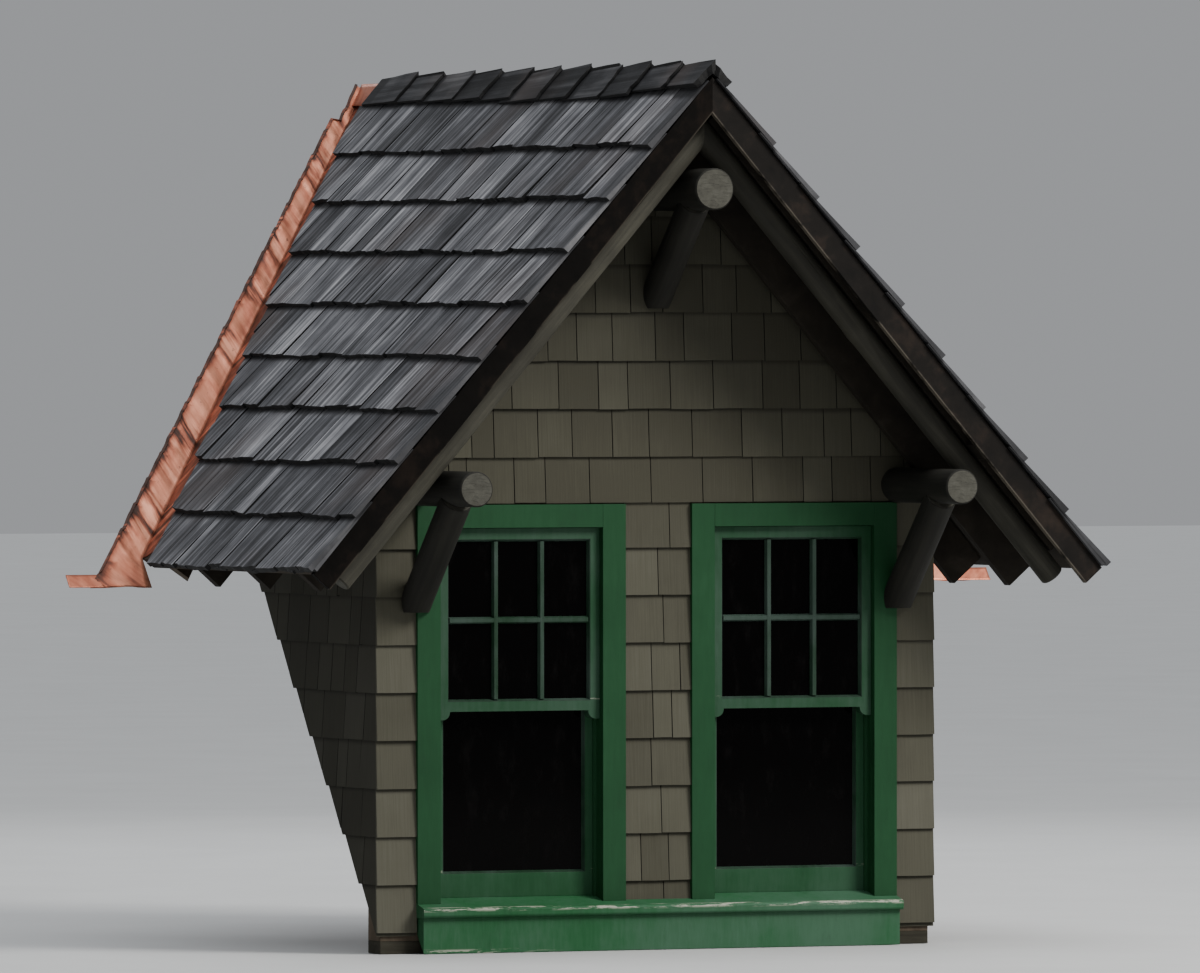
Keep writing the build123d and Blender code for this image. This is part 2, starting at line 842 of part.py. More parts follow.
with BuildPart() as valley_flashing:
    with BuildSketch(main_roof):
        with BuildLine():
            Polyline(
                (0, crease_top),
                (crease_foot_x, crease_foot),
                (crease_foot_x, flange_foot),
                (flange_reach, flange_foot),
                (flange_reach, flange_top),
                (edge_end_x, flange_top),
                (edge_top_x, edge_top),
                (0, crease_top + flashing_width_top / outer_up),
                close=True,
            )
        make_face()
    extrude(amount=flashing_thickness)
    with BuildSketch(right_slope):
        with BuildLine():
            Polyline(
                (0, valley_back(0)),
                (eave_run, valley_back(eave_run)),
                (eave_run, valley_back(eave_run) - leg_width),
                (0, valley_back(0) - leg_width),
                close=True,
            )
        make_face()
    extrude(amount=flashing_thickness)
    split(bisect_by=middle, keep=Keep.TOP)
save_pair(valley_flashing.part, "valley_flashing")

# Roof shingles as lapped courses, stopping short of the crease so that the copper shows
eave_butt = (eave_half_width + shingle_eave_overhang) / roof_cos
roof_course_count = math.ceil((eave_butt - cap_bed_reach) / roof_exposure)
shingle_points = [(0, 0), (eave_butt, 0)]
for course in range(roof_course_count):
    butt = eave_butt - course * roof_exposure
    upper = butt - roof_exposure
    if course < roof_course_count - 1:
        shingle_points += [(butt, shingle_butt), (upper, shingle_tip)]
    else:
        shingle_points += [(butt, shingle_butt), (cap_bed_reach, cap_bed)]
shingle_points += [(-cap_bed / roof_cos, cap_bed)]
valley_foot = Vector(eave_half_width, valley_back(eave_run), roof_z(eave_half_width))
cut_top = valley_top + deck_inward * opening_top
cut_foot = valley_foot + deck_inward * opening_foot
cut_direction = (cut_foot - cut_top).normalized()
valley_cut = Plane(
    origin=cut_top, x_dir=cut_direction, z_dir=cut_direction.cross(right_slope.z_dir)
)
bed_front = leg_width + seat_gap
bed_top = -shingle_butt
bed_foot = eave_run + shingle_butt

with BuildPart() as roof_shingles:
    with BuildSketch(Plane.XZ.offset(verge_reach + shingle_verge_overhang)):
        with BuildLine():
            Polyline(*[slope_point(run, rise) for run, rise in shingle_points], close=True)
        make_face()
    extrude(amount=-far)
    split(bisect_by=middle, keep=Keep.TOP)
    split(bisect_by=valley_cut, keep=Keep.TOP)
    with BuildSketch(right_slope):
        with BuildLine():
            Polyline(
                (bed_top, valley_back(bed_top) - bed_front),
                (bed_foot, valley_back(bed_foot) - bed_front),
                (bed_foot, far),
                (bed_top, far),
                close=True,
            )
        make_face()
    extrude(amount=flashing_thickness + seat_gap, mode=Mode.SUBTRACT)
save_pair(roof_shingles.part, "roof_shingles")

# Ridge cap bedded on the top courses
cap_bottom = cap_bed + seat_gap
cap_points = [
    (0, ridge_height + cap_bottom / roof_cos),
    slope_point(cap_width, cap_bottom),
    slope_point(cap_width, cap_bottom + cap_thickness),
    (0, ridge_height + (cap_bottom + cap_thickness) / roof_cos),
]

with BuildPart() as ridge_cap:
    with BuildSketch(Plane.XZ.offset(verge_reach + shingle_verge_overhang)):
        with BuildLine():
            Polyline(*cap_points, close=True)
        make_face()
        mirror(about=Plane.YZ)
    extrude(amount=-far)
    split(bisect_by=main_roof.offset(flashing_thickness + seat_gap), keep=Keep.TOP)
save(ridge_cap.part, "ridge_cap")
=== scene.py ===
"""Looks of the gabled dormer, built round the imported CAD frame. Metres, in the row frame."""
import math
import random

import bmesh
import bpy
from mathutils import Matrix, Vector, noise


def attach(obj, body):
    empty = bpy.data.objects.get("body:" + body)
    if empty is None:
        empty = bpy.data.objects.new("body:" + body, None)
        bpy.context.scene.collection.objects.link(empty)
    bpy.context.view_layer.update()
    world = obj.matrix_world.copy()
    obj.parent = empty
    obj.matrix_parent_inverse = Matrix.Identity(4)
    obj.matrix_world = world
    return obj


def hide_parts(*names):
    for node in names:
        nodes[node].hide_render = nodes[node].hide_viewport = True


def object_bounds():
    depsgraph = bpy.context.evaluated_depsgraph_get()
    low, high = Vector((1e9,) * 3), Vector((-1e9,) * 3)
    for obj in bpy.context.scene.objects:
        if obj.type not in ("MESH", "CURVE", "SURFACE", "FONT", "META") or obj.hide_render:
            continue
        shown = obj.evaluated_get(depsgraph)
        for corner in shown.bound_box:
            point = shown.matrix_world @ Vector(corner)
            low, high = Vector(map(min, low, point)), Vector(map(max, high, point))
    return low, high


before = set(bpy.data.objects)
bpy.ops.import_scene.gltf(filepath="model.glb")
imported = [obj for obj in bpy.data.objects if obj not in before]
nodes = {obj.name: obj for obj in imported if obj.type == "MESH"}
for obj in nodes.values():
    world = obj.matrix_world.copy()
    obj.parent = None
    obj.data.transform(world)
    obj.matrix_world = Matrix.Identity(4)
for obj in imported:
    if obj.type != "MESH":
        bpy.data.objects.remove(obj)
low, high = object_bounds()

# Sizes that the looks share with the CAD frame
ROOF = math.radians(48.8)
MAIN = math.radians(48.4)
ROOF_SIN, ROOF_COS, ROOF_TAN = math.sin(ROOF), math.cos(ROOF), math.tan(ROOF)
MAIN_SIN, MAIN_COS, MAIN_TAN = math.sin(MAIN), math.cos(MAIN), math.tan(MAIN)
RIDGE = 3.090
DECK = 0.045
RAFTER_UNDER = 0.185
PACKING = 0.036
SLEEPER_WIDTH = 0.130
SEAT, CLEAR = 0.0003, 0.0004
EAVE = 1.500
HALF_WALL = 1.065
WALL_FRONT = -0.055
CASING_FRONT = -0.080
APRON_FRONT = -0.118
VERGE = -0.544
VERGE_EDGE = VERGE - 0.015
CLAD_BUTT, CLAD_TIP = 0.018, 0.007
CASING_TOP = 1.582
WINDOW_X = 0.530
CASING_OUTER = 0.4015
SILL_HALF = 0.9315
TAIL_RUN = EAVE / ROOF_COS - 0.036

SIDES = ((-1, "left"), (1, "right"))
X_AXIS, Y_AXIS, Z_AXIS = Vector((1, 0, 0)), Vector((0, 1, 0)), Vector((0, 0, 1))
MAIN_NORMAL = Vector((0, -MAIN_SIN, MAIN_COS))
MAIN_POINT = Vector((0, APRON_FRONT, 0))

# Cuts are pairs of a point and a normal. This one takes off what lies below the main roof
MAIN_CLIP = (MAIN_POINT, -MAIN_NORMAL)
RIDGE_GAP = 0.0002
PAST_CUT, NARROWEST = 0.02, 0.06
MERGE, SHARP = 1e-6, math.radians(35)


def roof_z(x, depth=0.0):
    return RIDGE - depth / ROOF_COS - abs(x) * ROOF_TAN


def slope_point(side, run, y, rise):
    """A point on a slope: side -1 left or 1 right, a run down from the ridge and a rise above the deck."""
    return Vector((side * (run * ROOF_COS + rise * ROOF_SIN), y, RIDGE - run * ROOF_SIN + rise * ROOF_COS))


def main_y(z):
    return APRON_FRONT + z / MAIN_TAN


def slope_normal(side):
    return Vector((side * ROOF_SIN, 0, ROOF_COS))


def downhill(side):
    return Vector((side * ROOF_COS, 0, -ROOF_SIN))


VALLEY_TOP = Vector((0, main_y(RIDGE), RIDGE))


def valley(side):
    """Directions down the valley, and square to it: inward in the slope and outward on the main roof."""
    down = Vector((side, -ROOF_TAN / MAIN_TAN, -ROOF_TAN)).normalized()
    inward = down.cross(slope_normal(side)).normalized() * side
    outward = -(down.cross(MAIN_NORMAL).normalized() * side)
    return down, inward, outward


VALLEY_RUN = EAVE / abs(valley(1)[0].x)


def middle_clip(side, gap=0.0):
    """Cut that keeps a piece on its own side of the ridge."""
    return (Vector((side * gap, 0, 0)), Vector((-side, 0, 0)))


def sleeper_clip(side):
    """Cut where a piece ends against the sleeper under the deck."""
    top = roof_z(0, DECK)
    _, _, outward = valley(side)
    return (Vector((0, main_y(top), top)) - outward * (SLEEPER_WIDTH + SEAT), outward)


# Meshes are gathered as plain lists and made in one go
class Gather:
    def __init__(self):
        self.verts, self.uvs, self.tones, self.reaches = [], [], [], []
        self.faces, self.mats = [], []

    def vert(self, co, uv, tone=0.5, reach=0.0):
        self.verts.append(co)
        self.uvs.append(uv)
        self.tones.append(tone)
        self.reaches.append(reach)
        return len(self.verts) - 1

    def face(self, ids, mat=0):
        self.faces.append(ids)
        self.mats.append(mat)


def scatter(rng, reach):
    return Vector([rng.random() * reach for _ in range(3)])


def slab(g, origin, along, across, normal, length, width, top, bottom, rng, tone, nx, ny,
         wobble=0.0, ragged=0.0, skew=0.0, edge=0, bare_side=False, mitre=0.0):
    """One shingle or board. top and bottom are its rises at the butt and at the tip, above the origin.

    mitre is how much wider it grows for each unit of rise, so that its far edge is cut at a slant.
    """
    seed = scatter(rng, 50)
    uv_off = (rng.random() * 20, rng.random() * 20)
    cup = rng.uniform(-1, 1) * wobble
    rag = [rng.uniform(-1, 1) * ragged for _ in range(nx + 1)]

    def spot(d, t, rise):
        return origin + along * d + across * (t * (width + mitre * rise)) + normal * rise

    ids = []
    for j in range(ny + 1):
        s = j / ny
        row = []
        for i in range(nx + 1):
            t = i / nx
            d = s * length
            if j == 0:
                d += rag[i] + skew * (t - 0.5)
            rise = top[0] + (top[1] - top[0]) * s
            rise += cup * (t - 0.5) ** 2 * 4 * (1 - s)
            rise += noise.noise(seed + Vector((t * width * 25, s * 2, 0))) * wobble * (1 - 0.6 * s)
            row.append(g.vert(spot(d, t, rise), (uv_off[0] + t * width, uv_off[1] + d), tone, d))
        ids.append(row)
    for j in range(ny):
        for i in range(nx):
            g.face((ids[j][i], ids[j][i + 1], ids[j + 1][i + 1], ids[j + 1][i]))
    ring = [(0, i) for i in range(nx + 1)] + [(j, nx) for j in range(1, ny + 1)]
    ring += [(ny, i) for i in range(nx - 1, -1, -1)] + [(j, 0) for j in range(ny - 1, 0, -1)]
    under = []
    for j, i in ring:
        s, t = j / ny, i / nx
        d = s * length + (rag[i] + skew * (t - 0.5) if j == 0 else 0)
        rise = bottom[0] + (bottom[1] - bottom[0]) * s
        under.append(g.vert(spot(d, t, rise), (uv_off[0] + t * width, uv_off[1] + d + 0.01), tone, d))
    for k in range(len(ring)):
        a, b = ring[k], ring[(k + 1) % len(ring)]
        shown = 0 if bare_side and a[1] == 0 and b[1] == 0 else edge
        g.face((ids[a[0]][a[1]], under[k], under[(k + 1) % len(ring)], ids[b[0]][b[1]]), shown)
    g.face(tuple(reversed(under)))


def outline_prism(g, points, direction):
    """A closed prism: an outline of points, swept along a direction."""
    start = [g.vert(p, (i * 0.02, 0)) for i, p in enumerate(points)]
    end = [g.vert(p + direction, (i * 0.02, direction.length)) for i, p in enumerate(points)]
    n = len(points)
    for i in range(n):
        g.face((start[i], start[(i + 1) % n], end[(i + 1) % n], end[i]))
    g.face(tuple(reversed(start)))
    g.face(tuple(end))


def clip(bm, point, normal, close=True):
    """Remove what lies on the side that the normal points to, and close the cuts of a solid piece."""
    geom = bm.verts[:] + bm.edges[:] + bm.faces[:]
    bmesh.ops.bisect_plane(bm, geom=geom, dist=MERGE, plane_co=point, plane_no=normal, clear_outer=True)
    edges = [e for e in bm.edges if e.is_boundary]
    if close and edges:
        bmesh.ops.holes_fill(bm, edges=edges, sides=0)


def sharpen(bm):
    for e in bm.edges:
        e.smooth = not (e.is_manifold and e.calc_face_angle(0) > SHARP)


def add_object(name, data):
    made = bpy.data.objects.new(name, data)
    bpy.context.scene.collection.objects.link(made)
    return made


def build(g, name, materials, clips=(), smooth=False, replaces=(), close=True):
    """Make the gathered mesh into a piece that rides on the part."""
    mesh = bpy.data.meshes.new(name)
    mesh.from_pydata([tuple(v) for v in g.verts], [], g.faces)
    flat = [c for loop in mesh.loops for c in g.uvs[loop.vertex_index]]
    mesh.uv_layers.new(name="UVMap").data.foreach_set("uv", flat)
    for key, values in (("tone", g.tones), ("reach", g.reaches)):
        mesh.attributes.new(key, "FLOAT", "POINT").data.foreach_set("value", values)
    mesh.polygons.foreach_set("material_index", g.mats)
    for m in materials:
        mesh.materials.append(m)
    bm = bmesh.new()
    bm.from_mesh(mesh)
    for point, normal in clips:
        clip(bm, point, normal, close)
    bmesh.ops.recalc_face_normals(bm, faces=bm.faces)
    if smooth:
        for f in bm.faces:
            f.smooth = True
        sharpen(bm)
    bm.to_mesh(mesh)
    bm.free()
    piece = add_object(name, mesh)
    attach(piece, "root")
    if replaces:
        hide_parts(*replaces)
    return piece


# Materials: small helpers for node trees
class Tree:
    def __init__(self, name, rough, specular=0.5, metallic=0.0):
        self.mat = bpy.data.materials.new(name)
        self.mat.use_nodes = True
        self.nt = self.mat.node_tree
        self.bsdf = self.nt.nodes["Principled BSDF"]
        for key, value in (("Roughness", rough), ("Specular IOR Level", specular), ("Metallic", metallic)):
            self.bsdf.inputs[key].default_value = value

    def node(self, kind, **values):
        made = self.nt.nodes.new(kind)
        for key, value in values.items():
            setattr(made, key, value)
        return made

    def link(self, a, b):
        self.nt.links.new(a, b)

    def feed(self, socket, value):
        """Set a number or a colour on a socket, or link an output to it."""
        if isinstance(value, tuple):
            value = (*value, 1)
        if isinstance(value, (int, float, tuple)):
            socket.default_value = value
        else:
            self.link(value, socket)

    def uv(self, across, along):
        source = self.node("ShaderNodeUVMap", uv_map="UVMap")
        return self.mapped(source.outputs["UV"], (across, along, 1))

    def space(self, *scale):
        """Metres times one scale, or times a scale for each axis."""
        source = self.node("ShaderNodeTexCoord")
        return self.mapped(source.outputs["Object"], scale if len(scale) == 3 else scale * 3)

    def mapped(self, socket, scale):
        mapping = self.node("ShaderNodeMapping")
        mapping.inputs["Scale"].default_value = scale
        self.link(socket, mapping.inputs["Vector"])
        return mapping.outputs["Vector"]

    def noise(self, vector, detail, rough, distort=0.0):
        tex = self.node("ShaderNodeTexNoise")
        for key, value in (("Scale", 1), ("Detail", detail), ("Roughness", rough), ("Distortion", distort)):
            tex.inputs[key].default_value = value
        self.link(vector, tex.inputs["Vector"])
        return tex.outputs["Fac"]

    def math(self, operation, a, b=None, clamp=False):
        made = self.node("ShaderNodeMath", operation=operation, use_clamp=clamp)
        for socket, value in zip(made.inputs, (a, b)):
            if value is not None:
                self.feed(socket, value)
        return made.outputs[0]

    def add(self, a, b):
        return self.math("ADD", a, b)

    def minus(self, a, b, clamp=False):
        return self.math("SUBTRACT", a, b, clamp)

    def times(self, a, b):
        return self.math("MULTIPLY", a, b)

    def total(self, *parts):
        """Sum of pairs of a socket and its weight."""
        made = self.times(*parts[0])
        for socket, weight in parts[1:]:
            made = self.add(made, self.times(socket, weight))
        return made

    def shifted(self, value, by, amount):
        """A value moved by a socket that lies about 0.5."""
        return self.add(value, self.times(self.minus(by, 0.5), amount))

    def step(self, value, low, high):
        made = self.node("ShaderNodeMapRange", interpolation_type="SMOOTHSTEP")
        self.link(value, made.inputs["Value"])
        made.inputs["From Min"].default_value = low
        made.inputs["From Max"].default_value = high
        return made.outputs["Result"]

    def ramp(self, value, stops):
        made = self.node("ShaderNodeValToRGB")
        elements = made.color_ramp.elements
        while len(elements) < len(stops):
            elements.new(0.5)
        for element, (place, colour) in zip(elements, stops):
            element.position = place
            element.color = (*colour, 1)
        self.link(value, made.inputs["Fac"])
        return made.outputs["Color"]

    def mix(self, factor, a, b):
        made = self.node("ShaderNodeMix", data_type="RGBA", blend_type="MIX")
        for key, value in (("Factor", factor), ("A", a), ("B", b)):
            self.feed([s for s in made.inputs if s.name == key and s.enabled][0], value)
        return [s for s in made.outputs if s.enabled][0]

    def layer(self, colour, over, share, value, low, high):
        """A share of one colour over another, where a value passes from low to high."""
        return self.mix(self.times(self.step(value, low, high), share), colour, over)

    def split(self, vector):
        made = self.node("ShaderNodeSeparateXYZ")
        self.link(vector, made.inputs[0])
        return made.outputs

    def place(self):
        """x, y and z in metres."""
        return self.split(self.space(1))

    def tone(self, name="tone"):
        made = self.node("ShaderNodeAttribute", attribute_name=name, attribute_type="GEOMETRY")
        return made.outputs["Fac"]

    def colour(self, socket):
        self.link(socket, self.bsdf.inputs["Base Color"])

    def roughness(self, socket):
        self.link(socket, self.bsdf.inputs["Roughness"])

    def bump(self, height, distance, strength):
        made = self.node("ShaderNodeBump")
        made.inputs["Distance"].default_value = distance
        made.inputs["Strength"].default_value = strength
        self.link(height, made.inputs["Height"])
        self.link(made.outputs["Normal"], self.bsdf.inputs["Normal"])


def tinted(shade, *colour):
    return tuple(part * shade for part in colour)


def shaded(shade, stops):
    """Stops of a ramp with each colour times a shade."""
    return [(place, tinted(shade, *colour)) for place, colour in stops]


ROOF_EXPOSURE = 0.247
CAP_EXPOSURE = 0.268
VERGE_DARKENING = 0.15
GABLE_SHADE = (1.72, 2.05)


def shake_material(name, shade, covered):
    """Weathered cedar, darker towards the verge, with a painted shadow just below the next course's butt. The
    next course covers it from a distance above its butt.
    """
    t = Tree(name, 0.9, 0.3)
    grain = t.noise(t.uv(27, 1.5), 7, 0.60, 0.6)
    streak = t.noise(t.uv(52, 0.8), 3, 0.5)
    fine = t.noise(t.uv(230, 5), 4, 0.6)
    blotch = t.noise(t.space(6), 4, 0.55)
    value = t.total((t.tone(), 0.40), (grain, 1.25), (streak, 1.00), (fine, 0.16), (blotch, 0.55))
    colour = t.ramp(t.minus(value, 1.155), shaded(shade, [
        (0.05, (0.014, 0.014, 0.016)),
        (0.30, (0.048, 0.048, 0.052)),
        (0.52, (0.118, 0.118, 0.128)),
        (0.74, (0.270, 0.267, 0.279)),
        (1.00, (0.540, 0.530, 0.545)),
    ]))
    warm = t.noise(t.space(1.7), 3, 0.5)
    colour = t.layer(colour, (0.11, 0.085, 0.075), 0.35, warm, 0.5, 0.75)
    # Darker towards the verge, over a band in from its edge.
    inside = t.shifted(t.place()["Y"], blotch, 0.10)
    darken_by = t.minus(1.0, t.step(inside, VERGE_EDGE, VERGE_EDGE + VERGE_DARKENING))
    colour = t.mix(t.times(darken_by, 0.62), colour, (0.020, 0.020, 0.021))
    # Painted shadow: a dark band just below where the next course's butt covers the shingle.
    ragged = t.shifted(t.tone("reach"), grain, 0.05)
    t.colour(t.layer(colour, (0.010, 0.010, 0.011), 0.85, ragged, covered - 0.030, covered))
    t.bump(t.add(grain, t.times(fine, 0.3)), 0.004, 0.6)
    return t.mat


def edge_material(name, dark, light):
    """Sawn or weathered edges, which hold dirt; their dark colour also stands in as painted shade on shingle
    butts.
    """
    t = Tree(name, 0.95)
    grime = t.noise(t.space(55), 5, 0.65)
    t.colour(t.ramp(grime, [(0.35, dark), (0.75, light)]))
    t.bump(grime, 0.001, 0.5)
    return t.mat


def siding_material(name, shade):
    """Stained wall shingles, with painted shade high in the gable and a painted shadow just below each next
    course's butt.
    """
    t = Tree(name, 0.86, 0.25)
    grain = t.noise(t.uv(150, 4), 6, 0.6)
    blotch = t.noise(t.space(3.4), 4, 0.6)
    colour = t.ramp(t.total((t.tone(), 0.36), (grain, 0.4), (blotch, 0.4)), shaded(shade, [
        (0.24, (0.048, 0.045, 0.031)),
        (0.58, (0.073, 0.070, 0.050)),
        (0.95, (0.104, 0.100, 0.076)),
    ]))
    # Painted shade: darker high in the gable, under the roof.
    colour = t.layer(colour, tinted(shade, 0.020, 0.019, 0.013), 0.32, t.place()["Z"], *GABLE_SHADE)
    # Painted shadow: a dark band just below where the next course's butt covers the shingle.
    butt_shadow = t.shifted(t.tone("reach"), blotch, 0.02)
    t.colour(t.layer(colour, (0.014, 0.013, 0.009), 0.6, butt_shadow, 0.150, 0.168))
    t.bump(grain, 0.0012, 0.6)
    return t.mat


def paint_material(name, shade, chalk=0.0, pale_edge=None):
    """Green oil paint, gone chalky by a share. worn says where the edges have weathered to pale primer."""
    t = Tree(name, 0.6, 0.18)
    fade = t.noise(t.space(2.2), 5, 0.6)
    brush = t.noise(t.space(60, 60, 9), 5, 0.6)
    colour = t.ramp(t.total((fade, 0.7), (brush, 0.3)), shaded(shade, [
        (0.30, (0.0055, 0.043, 0.0135)),
        (0.55, (0.0095, 0.057, 0.0195)),
        (0.80, (0.0160, 0.075, 0.0290)),
    ]))
    if chalk:
        dry = t.add(fade, t.times(brush, 0.3))
        colour = t.layer(colour, (0.095, 0.115, 0.115), chalk * 2, dry, 0.45, 0.85)
    grime = t.noise(t.space(14, 14, 5), 6, 0.7)
    colour = t.layer(colour, (0.010, 0.030, 0.015), 0.4, grime, 0.55, 0.8)
    if pale_edge:
        flakes = t.noise(t.space(7, 60, 60), 7, 0.7)
        specks = t.noise(t.space(90), 3, 0.6)
        mask = pale_edge(t)
        bare = t.times(mask, t.step(t.add(flakes, t.times(specks, 0.12)), 0.565, 0.63))
        colour = t.mix(bare, colour, (0.34, 0.35, 0.28))
        rim = t.times(mask, t.step(flakes, 0.485, 0.59))
        colour = t.mix(t.times(t.minus(rim, bare, clamp=True), 0.6), colour, (0.09, 0.19, 0.10))
    t.colour(colour)
    t.bump(t.add(brush, t.times(grime, 0.5)), 0.0010, 0.5)
    return t.mat


# Where the paint wears off: the sill's nose, the left of the apron's foot and the tops of the sash rails
SILL_NOSE, SILL_ARRIS = -0.1335, (0.145, 0.156)
APRON_FOOT, APRON_LEFT = (0.008, 0.018), (-0.75, -0.35)
LOWER_RAIL, MEETING_RAIL = 0.2845, 0.893


def near(t, value, centre, reach):
    """1 at a centre value, falling to 0 at a reach from it."""
    away = t.math("ABSOLUTE", t.minus(value, centre))
    return t.minus(1.0, t.step(away, reach * 0.4, reach))


def sill_wear(t):
    _, y, z = t.place()
    return t.times(near(t, y, SILL_NOSE, 0.015), t.step(z, *SILL_ARRIS))


def apron_wear(t):
    x, _, z = t.place()
    foot = t.minus(1.0, t.step(z, *APRON_FOOT))
    return t.times(foot, t.minus(1.0, t.step(x, *APRON_LEFT)))


def sash_wear(t):
    z = t.place()["Z"]
    rails = t.math("MAXIMUM", near(t, z, LOWER_RAIL, 0.006), near(t, z, MEETING_RAIL, 0.005))
    return t.times(rails, 0.7)


def wood_material(name, scale, *colours, boards=False):
    """Wood with its grain along the axis of the smallest scale. With boards, each one has its own tone."""
    t = Tree(name, 0.85, 0.15)
    grain = t.noise(t.space(*scale), 8, 0.65, 0.4)
    broad = t.noise(t.space(2.5), 4, 0.6)
    value = t.total((grain, 0.7), (broad, 0.3))
    if boards:
        value = t.shifted(value, t.tone(), 0.3)
    t.colour(t.ramp(value, list(zip((0.30, 0.55, 0.80), colours))))
    t.bump(grain, 0.002, 0.7)
    return t.mat


BARGE_FOOT = (0.0775, 0.0825)


def barge_material(name, shade):
    """Dark stain gone brown in patches, its lower edge pale in patches: partly worn to bare wood, partly a
    painted highlight along the arris.
    """
    t = Tree(name, 0.75, 0.14 * shade)
    grain = t.noise(t.space(12, 60, 12), 8, 0.65, 0.4)
    broad = t.noise(t.space(5), 5, 0.65)
    colour = t.ramp(t.total((grain, 0.45), (broad, 0.55)), shaded(shade, [
        (0.32, (0.0024, 0.0020, 0.0016)),
        (0.50, (0.0068, 0.0053, 0.0042)),
        (0.62, (0.0200, 0.0135, 0.0100)),
        (0.76, (0.0300, 0.0250, 0.0170)),
    ]))
    x, _, z = t.place()
    across = t.times(t.math("ABSOLUTE", x), ROOF_SIN)
    depth = t.minus(t.times(t.minus(RIDGE, z), ROOF_COS), across)
    # Painted highlight along the lower arris, in patches like worn bare wood.
    pale_edge = t.times(t.step(depth, *BARGE_FOOT), t.step(broad, 0.38, 0.52))
    t.colour(t.mix(t.times(pale_edge, 0.8), colour, tinted(shade, 0.105, 0.090, 0.070)))
    t.bump(grain, 0.002, 0.7)
    return t.mat


def log_material(name, shade):
    """A peeled log under dark stain, with drying cracks along it."""
    t = Tree(name, 0.8, 0.25)
    grain = t.noise(t.uv(34, 2.2), 8, 0.66, 0.5)
    fine = t.noise(t.uv(160, 5), 4, 0.6)
    broad = t.noise(t.space(4), 4, 0.6)
    t.colour(t.ramp(t.total((grain, 0.5), (broad, 0.35), (fine, 0.15)), shaded(shade, [
        (0.28, (0.004, 0.0037, 0.0028)),
        (0.50, (0.012, 0.0113, 0.0085)),
        (0.75, (0.028, 0.0265, 0.0200)),
    ])))
    cracks = t.step(t.noise(t.uv(55, 0.9), 5, 0.5), 0.30, 0.37)
    t.bump(t.add(t.times(grain, 0.4), cracks), 0.003, 0.8)
    return t.mat


def end_grain_material():
    """Rings and radial checks of a sawn log."""
    t = Tree("log_end", 0.8, 0.25)
    x, y, _ = t.split(t.uv(1, 1))
    radius = t.math("SQRT", t.add(t.math("POWER", x, 2), t.math("POWER", y, 2)))
    wobble = t.noise(t.uv(40, 40), 4, 0.6)
    rings = t.math("SINE", t.add(t.times(radius, 1500), t.times(wobble, 5)))
    check = t.noise(t.uv(9, 70), 3, 0.5)
    crack = t.minus(1.0, t.step(t.math("ABSOLUTE", t.minus(check, 0.5)), 0.004, 0.02))
    grime = t.noise(t.uv(26, 26), 5, 0.65)
    colour = t.ramp(t.add(t.times(rings, 0.06), grime), [
        (0.25, (0.037, 0.035, 0.027)),
        (0.50, (0.058, 0.056, 0.045)),
        (0.80, (0.088, 0.086, 0.070)),
    ])
    t.colour(t.mix(t.times(crack, 0.35), colour, (0.022, 0.020, 0.015)))
    t.bump(t.minus(t.times(rings, 0.15), crack), 0.0015, 0.6)
    return t.mat


def copper_material():
    """Sheet copper, still bright, with creases in places, a painted highlight in its bend, and darker along
    its hem, partly as painted shadow.
    """
    t = Tree("sheet_copper", 0.4, metallic=0.65)
    crease = t.noise(t.uv(5, 24), 4, 0.55, 0.3)
    broad = t.noise(t.uv(7, 4), 5, 0.6)
    worked = t.step(t.noise(t.uv(3, 3), 2, 0.5), 0.46, 0.60)
    value = t.times(t.minus(crease, 0.5), t.add(0.25, worked))
    value = t.shifted(value, broad, 0.45)
    value = t.shifted(t.add(value, 0.53), t.tone(), 0.30)
    colour = t.ramp(value, [
        (0.34, (0.04, 0.018, 0.012)),
        (0.42, (0.15, 0.045, 0.026)),
        (0.49, (0.37, 0.112, 0.062)),
        (0.56, (0.52, 0.192, 0.112)),
        (0.66, (0.72, 0.310, 0.195)),
    ])
    spots = t.noise(t.space(45), 4, 0.65)
    t.colour(t.layer(colour, (0.10, 0.040, 0.028), 0.7, spots, 0.62, 0.72))
    t.roughness(t.add(0.34, t.times(broad, 0.26)))
    t.bump(crease, 0.002, 0.5)
    return t.mat


def glass_material():
    """Dusty glass with a dark room behind it."""
    t = Tree("window_pane", 0.05, 0.04)
    wave = t.noise(t.space(3, 3, 2.2), 2, 0.5)
    dust = t.noise(t.space(18, 18, 7), 6, 0.7)
    t.colour(t.layer((0.0010, 0.0008, 0.0008), (0.010, 0.009, 0.009), 0.4, dust, 0.5, 0.85))
    t.roughness(t.add(0.06, t.times(t.step(dust, 0.45, 0.9), 0.18)))
    t.bump(wave, 0.004, 0.15)
    return t.mat


shake = shake_material("weathered_cedar", 0.88, 0.248)
cap_shake = shake_material("dark_cedar", 0.205, CAP_EXPOSURE)
# Near-black shingle edges: weathered end grain, with painted shade on the butts.
shake_edge = edge_material("shingle_edge", (0.003, 0.003, 0.003), (0.012, 0.0115, 0.0115))
siding = siding_material("stained_wall_shingle", 1.0)
# Cheek shingles: the same stain at under half the brightness, as painted shade.
shaded_cheek_siding = siding_material("shaded_wall_shingle", 0.46)
siding_edge = edge_material("wall_shingle_edge", (0.006, 0.0055, 0.004), (0.018, 0.017, 0.013))
